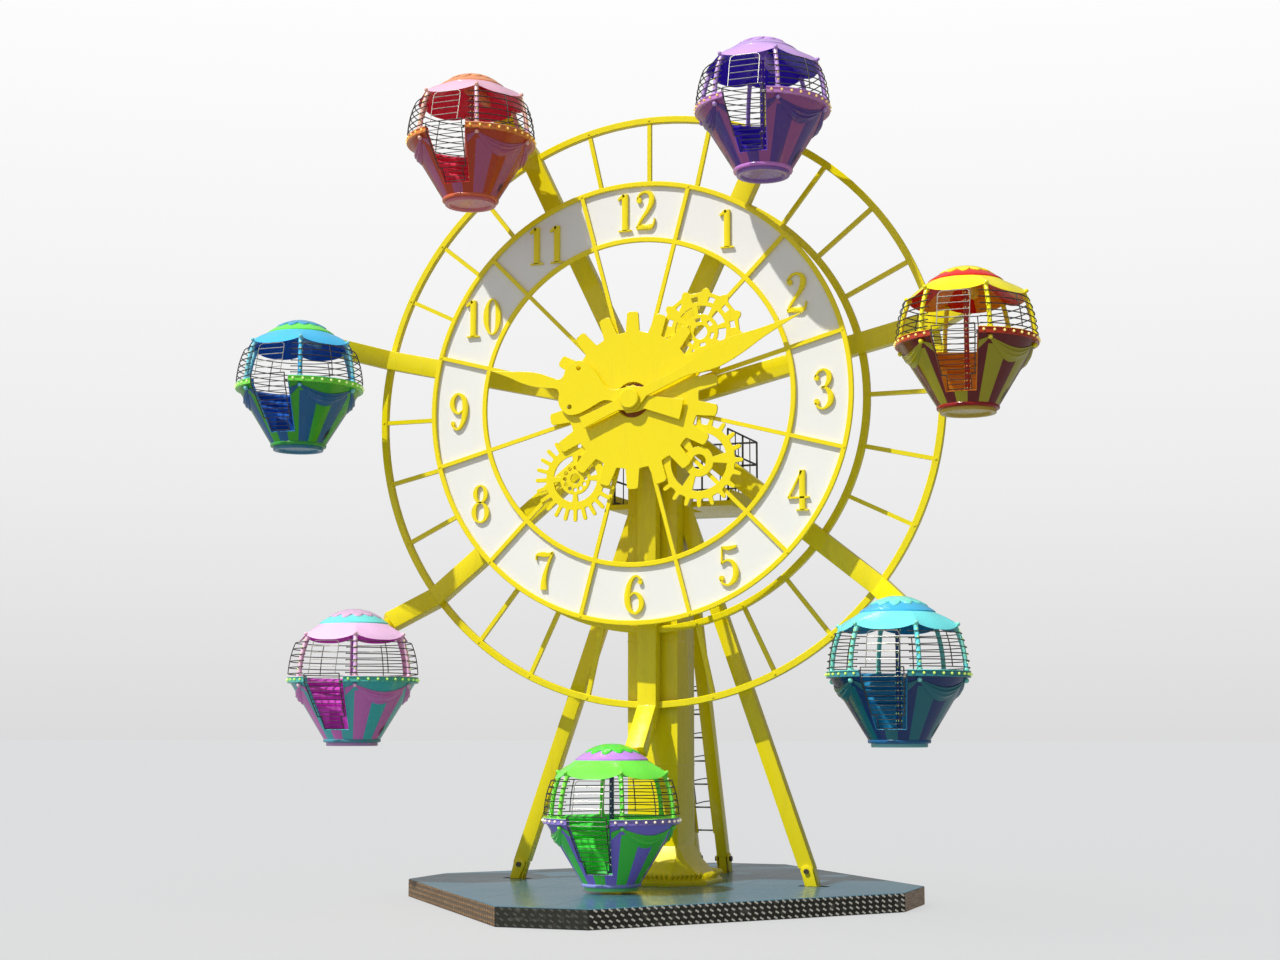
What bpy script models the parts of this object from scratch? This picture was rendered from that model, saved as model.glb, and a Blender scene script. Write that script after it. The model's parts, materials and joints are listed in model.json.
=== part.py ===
"""Ferris wheel with a clock dial: seven hanging cabins on a bent-arm wheel, box mast and deck.

Metres, +Z up, the public side faces -Y. The origin is on the ground under the deck's centre.
"""
import math

import bmesh
import bpy
from mathutils import Matrix, Vector

GAP = 0.0003
DECK_HALF_X = 4.62
DECK_HALF_Y = 5.43
DECK_SHORT = 0.78
DECK_TOP = 0.32

AXLE_Z = 8.84
AXLE_R = 0.16
MAST_Y = 0.07
MAST_HALF = 0.47
MAST_TOP = 9.55
SKIRT_TOP = 0.88
SKIRT_OUT = 1.0
STRUT_FOOT = 2.82
STRUT_TOP_Z = 6.95
FOOT_SLOTS = [(-STRUT_FOOT, MAST_Y, 0.27, 0.11), (STRUT_FOOT, MAST_Y, 0.27, 0.11),
              (-0.30, MAST_Y + STRUT_FOOT, 0.11, 0.27), (0.30, MAST_Y + STRUT_FOOT, 0.11, 0.27)]

WHEEL_FRONT = -0.71
WHEEL_BACK = -0.46
ARM_WIDTH = 0.35
ARM_COUNT = 7
ARM_FIRST = 180.0
ELBOW_R = 5.38
ARM_END_R = 6.12
ARM_END_FRONT = -1.36
RIM_FRONT = -0.58
RIM_BACK = -0.46
OUTER_RIM = (5.316, 5.44)
INNER_RIM = (3.975, 4.10)
BAR = 0.075

PIVOT_R = 6.32
PIVOT_Y = -2.43
PIVOT_UP = 2.158
SPINDLE_R = 0.06

DIAL_FRONT = -1.35
DIAL_BACK = -1.29
DIAL_R = 4.0
DIAL_INNER_R = 2.93
RIM_W = 0.09
HOUR_BAR = 0.07

PLATFORM_Z = 7.12
PLATFORM_X = 1.20
PLATFORM_Y = (MAST_Y + MAST_HALF + GAP, 2.55)
LADDER_PITCH = 0.44
LADDER_TOP = 6.72
HATCH = (0.35, 0.62, 1.45)

CABIN_SIDES = 18
CABINS = ("green", "pink", "sky", "red", "violet", "yellow", "blue")

PAINT = {
    "yellow": (0.85, 0.72, 0.05, 1), "white": (0.9, 0.9, 0.88, 1), "deck": (0.16, 0.33, 0.45, 1),
    "steel": (0.3, 0.3, 0.28, 1), "green": (0.12, 0.6, 0.12, 1), "pink": (0.7, 0.3, 0.55, 1),
    "sky": (0.15, 0.35, 0.7, 1), "red": (0.6, 0.08, 0.1, 1), "violet": (0.35, 0.15, 0.5, 1),
    "blue": (0.05, 0.25, 0.45, 1),
}


def clear():
    for thing in list(bpy.data.objects):
        bpy.data.objects.remove(thing, do_unlink=True)
    for mesh in list(bpy.data.meshes):
        bpy.data.meshes.remove(mesh)


def collection(name):
    made = bpy.data.collections.new(name)
    bpy.context.scene.collection.children.link(made)
    return made


def material(name, colour):
    mat = bpy.data.materials.new(name)
    mat.use_nodes = True
    shader = mat.node_tree.nodes["Principled BSDF"]
    shader.inputs["Base Color"].default_value = colour
    shader.inputs["Roughness"].default_value = 0.35
    return mat


def mesh_of(verts, faces):
    """A closed solid with its faces turned outwards."""
    mesh = bpy.data.meshes.new("solid")
    mesh.from_pydata([tuple(v) for v in verts], [], faces)
    work = bmesh.new()
    work.from_mesh(mesh)
    bmesh.ops.remove_doubles(work, verts=work.verts, dist=1e-6)
    bmesh.ops.recalc_face_normals(work, faces=work.faces)
    if work.calc_volume(signed=True) < 0:
        bmesh.ops.reverse_faces(work, faces=work.faces)
    work.to_mesh(mesh)
    work.free()
    return mesh


def box(x0, x1, y0, y1, z0, z1):
    verts = [(x, y, z) for z in (z0, z1) for y in (y0, y1) for x in (x0, x1)]
    return mesh_of(verts, [(0, 2, 3, 1), (4, 5, 7, 6), (0, 1, 5, 4), (2, 6, 7, 3), (0, 4, 6, 2),
                           (1, 3, 7, 5)])


def loft(loops):
    """Solid through loops of the same count, capped at both ends."""
    count = len(loops[0])
    verts = [p for loop in loops for p in loop]
    faces = [tuple(range(count)), tuple(range((len(loops) - 1) * count, len(loops) * count))]
    for row in range(len(loops) - 1):
        for i in range(count):
            j = (i + 1) % count
            faces.append((row * count + i, row * count + j, (row + 1) * count + j,
                          (row + 1) * count + i))
    return mesh_of(verts, faces)


def plate_y(outline, y0, y1):
    """Flat plate standing in the XZ plane between two depths."""
    return loft([[(x, y, z) for x, z in outline] for y in (y0, y1)])


def plate_z(outline, z0, z1):
    return loft([[(x, y, z) for x, y in outline] for z in (z0, z1)])


def circle(radius, sides, phase=0.0, centre=(0.0, 0.0)):
    return [(centre[0] + radius * math.sin(math.radians(phase) + 2 * math.pi * i / sides),
             centre[1] + radius * math.cos(math.radians(phase) + 2 * math.pi * i / sides))
            for i in range(sides)]


def rod_y(radius, y0, y1, sides=16, centre=(0.0, 0.0), phase=0.0):
    return plate_y(circle(radius, sides, phase, centre), y0, y1)


def ring_y(outer, inner, y0, y1, sides, phase=0.0, centre=(0.0, 0.0)):
    """Flat ring whose outer and inner outlines have the same count of corners."""
    rows = [circle(inner, sides, phase, centre), circle(outer, sides, phase, centre)]
    return closed_rows([[(x, y0, z) for x, z in rows[0]], [(x, y0, z) for x, z in rows[1]],
                        [(x, y1, z) for x, z in rows[1]], [(x, y1, z) for x, z in rows[0]]])


def closed_rows(rows):
    """Tube surface through rows that close on themselves both ways."""
    count = len(rows[0])
    verts = [p for row in rows for p in row]
    faces = []
    for r in range(len(rows)):
        s = (r + 1) % len(rows)
        for i in range(count):
            j = (i + 1) % count
            faces.append((r * count + i, r * count + j, s * count + j, s * count + i))
    return mesh_of(verts, faces)


def sweep(points, across, along, reference, level_ends=False):
    """Rod of rectangular section through points; `reference` is the direction of `along`."""
    points = [Vector(p) for p in points]
    loops = []
    for i, point in enumerate(points):
        before = points[max(i - 1, 0)]
        after = points[min(i + 1, len(points) - 1)]
        tangent = (after - before).normalized()
        ref = Vector(reference(point) if callable(reference) else reference).normalized()
        side = tangent.cross(ref).normalized()
        up = side.cross(tangent).normalized()
        stretch = 1.0
        if 0 < i < len(points) - 1:
            half = (point - before).normalized().dot(tangent)
            stretch = 1.0 / max(half, 0.5)
        a, b = side * across / 2, up * along / 2
        if abs(tangent.dot(ref)) < 0.999 and 0 < i < len(points) - 1:
            bend = ((after - point).normalized() - (point - before).normalized())
            if bend.length > 1e-6:
                if abs(bend.normalized().dot(side)) > 0.7:
                    a = a * stretch
                else:
                    b = b * stretch
        loop = [point - a - b, point + a - b, point + a + b, point - a + b]
        if level_ends and i in (0, len(points) - 1):
            loop = [p + tangent * ((point.z - p.z) / tangent.z) for p in loop]
        loops.append(loop)
    return loft(loops)


def joined(meshes, cut=()):
    """Exact union of solids, less the cutters, as one mesh."""
    base = bpy.data.objects.new("union", meshes[0])
    bpy.context.scene.collection.objects.link(base)
    for operation, group in (("UNION", meshes[1:]), ("DIFFERENCE", list(cut))):
        for mesh in group:
            other = bpy.data.objects.new("operand", mesh)
            bpy.context.scene.collection.objects.link(other)
            step = base.modifiers.new("step", "BOOLEAN")
            step.operation = operation
            step.solver = "EXACT"
            step.object = other
            graph = bpy.context.evaluated_depsgraph_get()
            made = bpy.data.meshes.new_from_object(base.evaluated_get(graph))
            base.modifiers.clear()
            base.data = made
            bpy.data.objects.remove(other)
    made = base.data
    bpy.data.objects.remove(base)
    work = bmesh.new()
    work.from_mesh(made)
    bmesh.ops.remove_doubles(work, verts=work.verts, dist=2e-5)
    bmesh.ops.dissolve_degenerate(work, edges=work.edges, dist=1e-5)
    bmesh.ops.dissolve_limit(work, angle_limit=math.radians(0.05), verts=work.verts,
                             edges=work.edges)
    bmesh.ops.triangulate(work, faces=work.faces)
    work.to_mesh(made)
    work.free()
    return made


def moved(mesh, matrix):
    copy = mesh.copy()
    copy.transform(matrix)
    return copy


def shift(x, y, z):
    return Matrix.Translation((x, y, z))


def turn_y(degrees, x=0.0, z=AXLE_Z):
    """Clockwise turn seen from the front, about a line along Y."""
    return shift(x, 0, z) @ Matrix.Rotation(math.radians(degrees), 4, "Y") @ shift(-x, 0, -z)


def place(name, mesh, paint, group, pivot=None):
    """Object with its origin on `pivot`, or on the frame's origin for a fixed piece."""
    if pivot is not None:
        mesh = moved(mesh, shift(*[-c for c in pivot]))
    mesh.name = name
    obj = bpy.data.objects.new(name, mesh)
    obj.location = pivot or (0, 0, 0)
    obj.data.materials.clear()
    obj.data.materials.append(material(name + "_paint", PAINT[paint]))
    group.objects.link(obj)
    return obj


def arm_angles():
    return [(ARM_FIRST + k * 360.0 / ARM_COUNT) % 360.0 for k in range(ARM_COUNT)]


def polar(degrees, radius):
    a = math.radians(degrees)
    return radius * math.sin(a), AXLE_Z + radius * math.cos(a)


# deck, mast and struts

def deck_mesh():
    outline = []
    for sx, sy in ((1, 1), (1, -1), (-1, -1), (-1, 1)):
        corner = [(sx * DECK_SHORT, sy * DECK_HALF_Y), (sx * DECK_HALF_X, sy * 0.77)]
        outline += corner if sx * sy > 0 else corner[::-1]
    slab = plate_z(outline, 0.0, DECK_TOP)
    slots = []
    for x, y, hx, hy in FOOT_SLOTS:
        slots.append(box(x - hx, x + hx, y - hy, y + hy, DECK_TOP - 0.08, DECK_TOP + 0.1))
    return joined([slab], slots)


def mast_mesh():
    def octagon(out, side, z):
        return [(side, MAST_Y - out, z), (out, MAST_Y - side, z), (out, MAST_Y + side, z),
                (side, MAST_Y + out, z), (-side, MAST_Y + out, z), (-out, MAST_Y + side, z),
                (-out, MAST_Y - side, z), (-side, MAST_Y - out, z)]

    h = MAST_HALF
    skirt = loft([octagon(SKIRT_OUT, h, DECK_TOP + GAP), octagon(SKIRT_OUT, h, DECK_TOP + 0.06),
                  octagon(0.80, h, DECK_TOP + 0.22), octagon(0.62, h, DECK_TOP + 0.40),
                  octagon(h + 0.002, h - 0.004, SKIRT_TOP + 0.1)])
    shaft = box(-h, h, MAST_Y - h, MAST_Y + h, DECK_TOP + 0.3, MAST_TOP)
    return joined([skirt, shaft], [rod_y(AXLE_R + GAP, -2, 0.3, 16, (0, AXLE_Z))])


def strut_mesh(side):
    """Side strut in the plane of the mast, with its foot in the deck's slot."""
    top_x = MAST_HALF + GAP
    foot_z = DECK_TOP + 0.30
    half = 0.13
    run = (STRUT_FOOT - top_x) / (STRUT_TOP_Z - DECK_TOP)
    wide = half * math.sqrt(1 + run * run)

    def row(z, shrink=1.0, depth=0.12):
        x = top_x + (STRUT_TOP_Z - z) * run
        return [(side * (x - wide * shrink), MAST_Y - depth, z),
                (side * (x + wide * shrink), MAST_Y - depth, z),
                (side * (x + wide * shrink), MAST_Y + depth, z),
                (side * (x - wide * shrink), MAST_Y + depth, z)]

    x, low, high = side * top_x, STRUT_TOP_Z - wide / run, STRUT_TOP_Z + wide / run
    beam = mesh_of([*row(foot_z), (x, MAST_Y - 0.12, low), (x, MAST_Y - 0.12, high),
                    (x, MAST_Y + 0.12, high), (x, MAST_Y + 0.12, low)],
                   [(0, 1, 2, 3), (4, 5, 6, 7), (0, 1, 5, 4), (1, 2, 6, 5), (2, 3, 7, 6),
                    (3, 0, 4, 7)])
    near, far = side * (STRUT_FOOT - 0.12), side * (STRUT_FOOT + 0.12)
    pad = DECK_TOP - 0.08 + GAP
    lug = loft([[(near, MAST_Y - 0.08, pad), (far, MAST_Y - 0.08, pad),
                 (far, MAST_Y + 0.08, pad), (near, MAST_Y + 0.08, pad)],
                row(foot_z + 0.02, 0.9, 0.08)])
    return joined([beam, lug])


def leg_mesh(side):
    """Rear leg: one stile of the ladder frame, leaning from the mast to the rear slots."""
    x = side * 0.30
    top_y = MAST_Y + MAST_HALF + GAP
    foot_y = MAST_Y + STRUT_FOOT
    run = (foot_y - top_y) / (STRUT_TOP_Z - DECK_TOP)
    wide = 0.10 * math.sqrt(1 + run * run)
    foot_z = DECK_TOP + 0.30

    def row(z, shrink=1.0, half=0.10):
        y = top_y + (STRUT_TOP_Z - z) * run
        return [(x - half, y - wide * shrink, z), (x + half, y - wide * shrink, z),
                (x + half, y + wide * shrink, z), (x - half, y + wide * shrink, z)]

    low, high = STRUT_TOP_Z - wide / run, STRUT_TOP_Z + wide / run
    beam = mesh_of([*row(foot_z), (x - 0.10, top_y, low), (x + 0.10, top_y, low),
                    (x + 0.10, top_y, high), (x - 0.10, top_y, high)],
                   [(0, 1, 2, 3), (4, 5, 6, 7), (0, 1, 5, 4), (1, 2, 6, 5), (2, 3, 7, 6),
                    (3, 0, 4, 7)])
    pad = DECK_TOP - 0.08 + GAP
    lug = loft([[(x - 0.07, foot_y - 0.12, pad), (x + 0.07, foot_y - 0.12, pad),
                 (x + 0.07, foot_y + 0.12, pad), (x - 0.07, foot_y + 0.12, pad)],
                row(foot_z + 0.02, 0.9, 0.07)])
    above = box(x - 1, x + 1, 0, 2, PLATFORM_Z - GAP, PLATFORM_Z + 1)
    return joined([beam, lug], [above])


def leg_point(z, out=0.0):
    """Point on the rear legs' centre plane at a height, `out` metres behind it."""
    top_y = MAST_Y + MAST_HALF + GAP
    run = (MAST_Y + STRUT_FOOT - top_y) / (STRUT_TOP_Z - DECK_TOP)
    return top_y + (STRUT_TOP_Z - z) * run + out


def platform_mesh():
    floor = box(-PLATFORM_X, PLATFORM_X, *PLATFORM_Y, PLATFORM_Z, PLATFORM_Z + 0.10)
    hatch = box(-HATCH[0], HATCH[0], HATCH[1], HATCH[2], PLATFORM_Z - 1, PLATFORM_Z + 1)
    edge = [box(-PLATFORM_X, PLATFORM_X, PLATFORM_Y[1] - 0.03, PLATFORM_Y[1], PLATFORM_Z + 0.05,
                PLATFORM_Z + 0.30),
            box(-PLATFORM_X, -PLATFORM_X + 0.03, *PLATFORM_Y, PLATFORM_Z + 0.05, PLATFORM_Z + 0.30),
            box(PLATFORM_X - 0.03, PLATFORM_X, *PLATFORM_Y, PLATFORM_Z + 0.05, PLATFORM_Z + 0.30)]
    return joined([floor] + edge, [hatch])


def railing_mesh():
    """Three-sided railing standing inside the platform's toe board."""
    x, y0, y1 = PLATFORM_X - 0.08, PLATFORM_Y[0] + 0.08, PLATFORM_Y[1] - 0.08
    z0, z1 = PLATFORM_Z + 0.10 + GAP, PLATFORM_Z + 1.45
    bars = []
    for z in (z0 + 0.45, z0 + 0.90, z1 - 0.03):
        bars.append(sweep([(-x, y0, z), (-x, y1, z), (x, y1, z), (x, y0, z)], 0.04, 0.04, (0, 0, 1)))
    for px, py in [(-x, y0), (-x, (y0 + y1) / 2), (-x, y1), (0, y1), (x, y1), (x, (y0 + y1) / 2),
                   (x, y0)]:
        bars.append(box(px - 0.025, px + 0.025, py - 0.025, py + 0.025, z0, z1 - 0.012))
    return joined(bars)


def ladder_mesh():
    """Rungs between two side rails, with safety hoops behind."""
    half = 0.17
    z_low, z_high = DECK_TOP + 0.75, LADDER_TOP
    rails = [sweep([(s * half, leg_point(z_low), z_low), (s * half, leg_point(z_high), z_high)],
                   0.05, 0.05, (1, 0, 0)) for s in (-1, 1)]
    steps = []
    count = int((z_high - z_low) / LADDER_PITCH)
    for i in range(count + 1):
        z = z_low + 0.05 + i * LADDER_PITCH
        if z > z_high - 0.03:
            break
        y = leg_point(z)
        steps.append(box(-half, half, y - 0.015, y + 0.015, z - 0.015, z + 0.015))
    for s in (-1, 1):
        for z in (z_low + 0.6, (z_low + z_high) / 2, z_high - 0.5):
            y = leg_point(z)
            edge = 0.20 - GAP
            steps.append(box(min(s * half, s * edge), max(s * half, s * edge), y - 0.03, y + 0.03,
                             z - 0.03, z + 0.03))
    return joined(rails + steps)


# wheel

def spider_mesh():
    """Hub, seven bent box arms and the cabin spindles."""
    hub = rod_y(0.62, WHEEL_FRONT - 0.04, WHEEL_BACK + 0.02, 28, (0, AXLE_Z))
    solids = [hub]
    half = ARM_WIDTH / 2
    depth = WHEEL_BACK - WHEEL_FRONT
    lean = Vector((ARM_END_FRONT - WHEEL_FRONT, ARM_END_R - ELBOW_R)).normalized()
    back_y, back_r = lean.y * depth, -lean.x * depth
    for angle in arm_angles():
        rows = [[(-half, WHEEL_FRONT, AXLE_Z + 0.4), (half, WHEEL_FRONT, AXLE_Z + 0.4),
                 (half, WHEEL_BACK, AXLE_Z + 0.4), (-half, WHEEL_BACK, AXLE_Z + 0.4)],
                [(-half, WHEEL_FRONT, AXLE_Z + ELBOW_R), (half, WHEEL_FRONT, AXLE_Z + ELBOW_R),
                 (half, WHEEL_BACK, AXLE_Z + ELBOW_R + 0.10),
                 (-half, WHEEL_BACK, AXLE_Z + ELBOW_R + 0.10)],
                [(-half, ARM_END_FRONT, AXLE_Z + ARM_END_R), (half, ARM_END_FRONT, AXLE_Z + ARM_END_R),
                 (half, ARM_END_FRONT + back_y, AXLE_Z + ARM_END_R + back_r),
                 (-half, ARM_END_FRONT + back_y, AXLE_Z + ARM_END_R + back_r)]]
        arm = loft(rows)
        spindle = rod_y(SPINDLE_R, PIVOT_Y + 0.40, ARM_END_FRONT + 0.14, 8, (0, AXLE_Z + PIVOT_R))
        boss = rod_y(0.15, PIVOT_Y + 0.88, ARM_END_FRONT + 0.17, 8, (0, AXLE_Z + PIVOT_R), 22.5)
        solids += [moved(m, turn_y(angle)) for m in (arm, boss, spindle)]
    return joined(solids, [rod_y(AXLE_R + 0.004, -2, 1, 16, (0, AXLE_Z))])


def sector_mesh(first):
    """Part of both rims between two arms, with its three bars."""
    span = 360.0 / ARM_COUNT
    solids = []
    for inner, outer in (OUTER_RIM, INNER_RIM):
        rows = []
        for i in range(9):
            a = first + span * i / 8
            (xi, zi), (xo, zo) = polar(a, inner), polar(a, outer)
            rows.append([(xi, RIM_FRONT, zi), (xo, RIM_FRONT, zo), (xo, RIM_BACK, zo),
                         (xi, RIM_BACK, zi)])
        solids.append(loft(rows))
    for i in (1, 2, 3):
        a = first + span * i / 4
        bar = box(-BAR / 2, BAR / 2, RIM_FRONT + 0.02, RIM_FRONT + 0.02 + BAR, AXLE_Z + 4.03,
                  AXLE_Z + 5.37)
        solids.append(moved(bar, turn_y(a)))
    reach = ARM_WIDTH / 2 + GAP
    cuts = [moved(box(-reach, reach, -1, 0.5, AXLE_Z + 2, AXLE_Z + 7), turn_y(a))
            for a in (first, first + span)]
    return joined(solids, cuts)


# clock

def dial_mesh():
    """Two rims, twelve bars and the middle plate."""
    centre = (0, AXLE_Z)
    solids = [ring_y(DIAL_R, DIAL_R - RIM_W, DIAL_FRONT, DIAL_BACK, 36, 5, centre),
              ring_y(DIAL_INNER_R + RIM_W / 2, DIAL_INNER_R - RIM_W / 2, DIAL_FRONT, DIAL_BACK, 36, 5,
                     centre),
              rod_y(0.42, DIAL_FRONT, DIAL_BACK, 24, centre)]
    for k in range(12):
        bar = box(-HOUR_BAR / 2, HOUR_BAR / 2, DIAL_FRONT, DIAL_BACK, AXLE_Z + 0.2,
                  AXLE_Z + DIAL_R - 0.03)
        solids.append(moved(bar, turn_y(15 + 30 * k)))
    return joined(solids)


def toothed(centre, tip, root, teeth, phase=0.0, top=0.36, foot=0.6):
    """Outline of a toothed wheel; `top` and `foot` are shares of the tooth pitch."""
    out = []
    pitch = 360.0 / teeth
    for i in range(teeth):
        for radius, share in ((root, -foot / 2), (tip, -top / 2), (tip, top / 2), (root, foot / 2)):
            a = math.radians(phase + pitch * (i + share))
            out.append((centre[0] + radius * math.sin(a), centre[1] + radius * math.cos(a)))
    return out


def small_gear(centre, tip, root, teeth, bore, hub, rim, spokes, top, y0, y1, phase):
    body = plate_y(toothed(centre, tip, root, teeth, 0, top, 0.7), y0, y1)
    cuts = [rod_y(bore, y0 - 1, y1 + 1, 12, centre)]
    step = 360.0 / spokes
    for k in range(spokes):
        outline = []
        for radius, margin in ((hub, 14), (rim, 7)):
            angles = [phase + step * k + margin, phase + step * (k + 0.5), phase + step * (k + 1) - margin]
            if radius == rim:
                angles = angles[::-1]
            for a in angles:
                outline.append((centre[0] + radius * math.sin(math.radians(a)),
                                centre[1] + radius * math.cos(math.radians(a))))
        cuts.append(plate_y(outline, y0 - 1, y1 + 1))
    return joined([body], cuts)


def hand(points, angle, y0, y1, collar):
    body = plate_y([(x, AXLE_Z + z) for x, z in points], y0, y1)
    disc = rod_y(collar, y0, y1, 24, (0, AXLE_Z))
    mesh = joined([body, disc], [rod_y(0.148, y0 - 1, y1 + 1, 16, (0, AXLE_Z))])
    return moved(mesh, turn_y(angle))


def mirrored(half):
    return half + [(-x, z) for x, z in reversed(half) if x > 1e-6]


# cabins

def cabin_rows(profile):
    """Rows of points round the cabin axis; a profile entry may hold heights per corner."""
    rows = []
    for radius, z in profile:
        row = []
        for i in range(CABIN_SIDES):
            a = 10 + 20 * i
            height = z(a) if callable(z) else z
            row.append((radius * math.sin(math.radians(a)), -radius * math.cos(math.radians(a)), height))
        rows.append(row)
    return rows


GATE_HINGE = (0.385, -1.145)
GATE_ROD = 0.025


def tub_mesh():
    """Conical tub with its foot ring, belt, door opening and the gate's hinge lug."""
    outer = [(0.455, 0.0), (0.455, 0.062), (0.508, 0.075), (0.508, 0.118), (0.50, 0.125),
             (1.10, 1.11), (1.16, 1.115), (1.16, 1.205)]
    inner = [(1.045, 1.205), (0.555, 0.30)]
    shell = loft(cabin_rows(outer) + cabin_rows(inner))
    sill, rim = 0.27, 1.30
    corners = [(-0.235, sill), (0.235, sill), (0.40, rim), (-0.40, rim)]
    opening = joined([shell], [plate_y(corners, -1.6, -0.50)])
    hx, hy = GATE_HINGE
    lug = box(hx - 0.012, hx + 0.045, hy - 0.012, hy + 0.13, 1.13, 1.19)
    pin = loft([[(x, y, z) for x, y in circle(0.010, 6, 0, GATE_HINGE)] for z in (1.06, 1.16)])
    return joined([opening, lug, pin])


def hem(angle):
    return 1.925 if abs(((angle - 30) + 30) % 60 - 30) < 1 else 1.865


def upper_mesh():
    """Canopy, posts, centre pole and the bearing housing."""
    outer = [(0.97, hem), (0.80, 2.03), (0.62, 2.14), (0.50, 2.25), (0.27, 2.37)]
    inner = [(0.48, 2.17), (0.87, 1.955), (0.87, hem)]
    rows = cabin_rows(outer)
    cap = [(0.0, 0.0, 2.43)]
    under = cabin_rows(inner)
    verts, faces = [], []
    for row in rows:
        verts += row
    top = len(verts)
    verts += cap
    n = CABIN_SIDES
    for r in range(len(rows) - 1):
        for i in range(n):
            j = (i + 1) % n
            faces.append((r * n + i, r * n + j, (r + 1) * n + j, (r + 1) * n + i))
    for i in range(n):
        faces.append(((len(rows) - 1) * n + i, (len(rows) - 1) * n + (i + 1) % n, top))
    base = len(verts)
    verts += [(0.0, 0.0, 2.30)]
    start = len(verts)
    for row in under:
        verts += row
    for i in range(n):
        faces.append((start + i, start + (i + 1) % n, base))
    for r in range(len(under) - 1):
        for i in range(n):
            j = (i + 1) % n
            faces.append((start + r * n + i, start + r * n + j, start + (r + 1) * n + j,
                          start + (r + 1) * n + i))
    last = start + (len(under) - 1) * n
    for i in range(n):
        j = (i + 1) % n
        faces.append((i, j, last + j, last + i))
    shell = mesh_of(verts, faces)
    solids = [shell, loft([[(x, y, z) for x, y in circle(0.05, 6)] for z in (0.30 + GAP, 2.36)]),
              rod_y(0.12, -0.10, 0.70, 8, (0, PIVOT_UP), 22.5)]
    curve = [(1.10, 1.205 + GAP), (1.065, 1.52), (0.925, 1.94)]
    for a in (30, 90, 150, 210, 270, 330):
        s, c = math.sin(math.radians(a)), -math.cos(math.radians(a))
        solids.append(sweep([(r * s, r * c, z) for r, z in curve], 0.055, 0.055, (s, c, 0), True))
    return joined(solids, [rod_y(SPINDLE_R + 0.008, 0.36, 1.0, 8, (0, PIVOT_UP), 22.5)])


def gate_mesh():
    """One door leaf: tapered lower gate with a narrow foot, and a hoop standing on its top bar."""
    def slope(z):
        return -(0.50 + 0.61 * (z - 0.12)) - 0.035

    half = GATE_ROD / 2
    foot, low, step, high, top = 0.19, 0.30, 0.50, 1.10, 1.83
    narrow, wide, upper = 0.265, 0.345, 0.26
    rods = []
    for side in (-1, 1):
        rods.append(sweep([(side * foot, slope(low), low), (side * foot, slope(step), step)],
                          GATE_ROD, GATE_ROD, (1, 0, 0)))
        rods.append(sweep([(side * narrow, slope(step), step), (side * wide, slope(high), high),
                           (side * wide, -1.145, 1.25)], GATE_ROD, GATE_ROD, (1, 0, 0)))
        rods.append(sweep([(side * upper, -1.145, 1.24), (side * upper, -1.00, top)],
                          GATE_ROD, GATE_ROD, (1, 0, 0)))
    for z, w in ((low, foot + 0.005), (step, narrow + 0.005), (0.80, 0.305), (high, wide)):
        rods.append(box(-w, w, slope(z) - half, slope(z) + half, z - half, z + half))
    for z, y, w in ((1.25, -1.145, wide + half), (1.55, -1.069, upper), (top - half, -1.003, upper)):
        rods.append(box(-w, w, y - half, y + half, z - half, z + half))
    hx, hy = GATE_HINGE
    rods.append(box(0.32, hx + 0.02, hy - 0.02, hy + 0.02, high - 0.02, high + 0.02))
    bore = [[(x, y, z) for x, y in circle(0.0125, 6, 0, GATE_HINGE)] for z in (0.9, 1.3)]
    return joined(rods, [loft(bore)])


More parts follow.
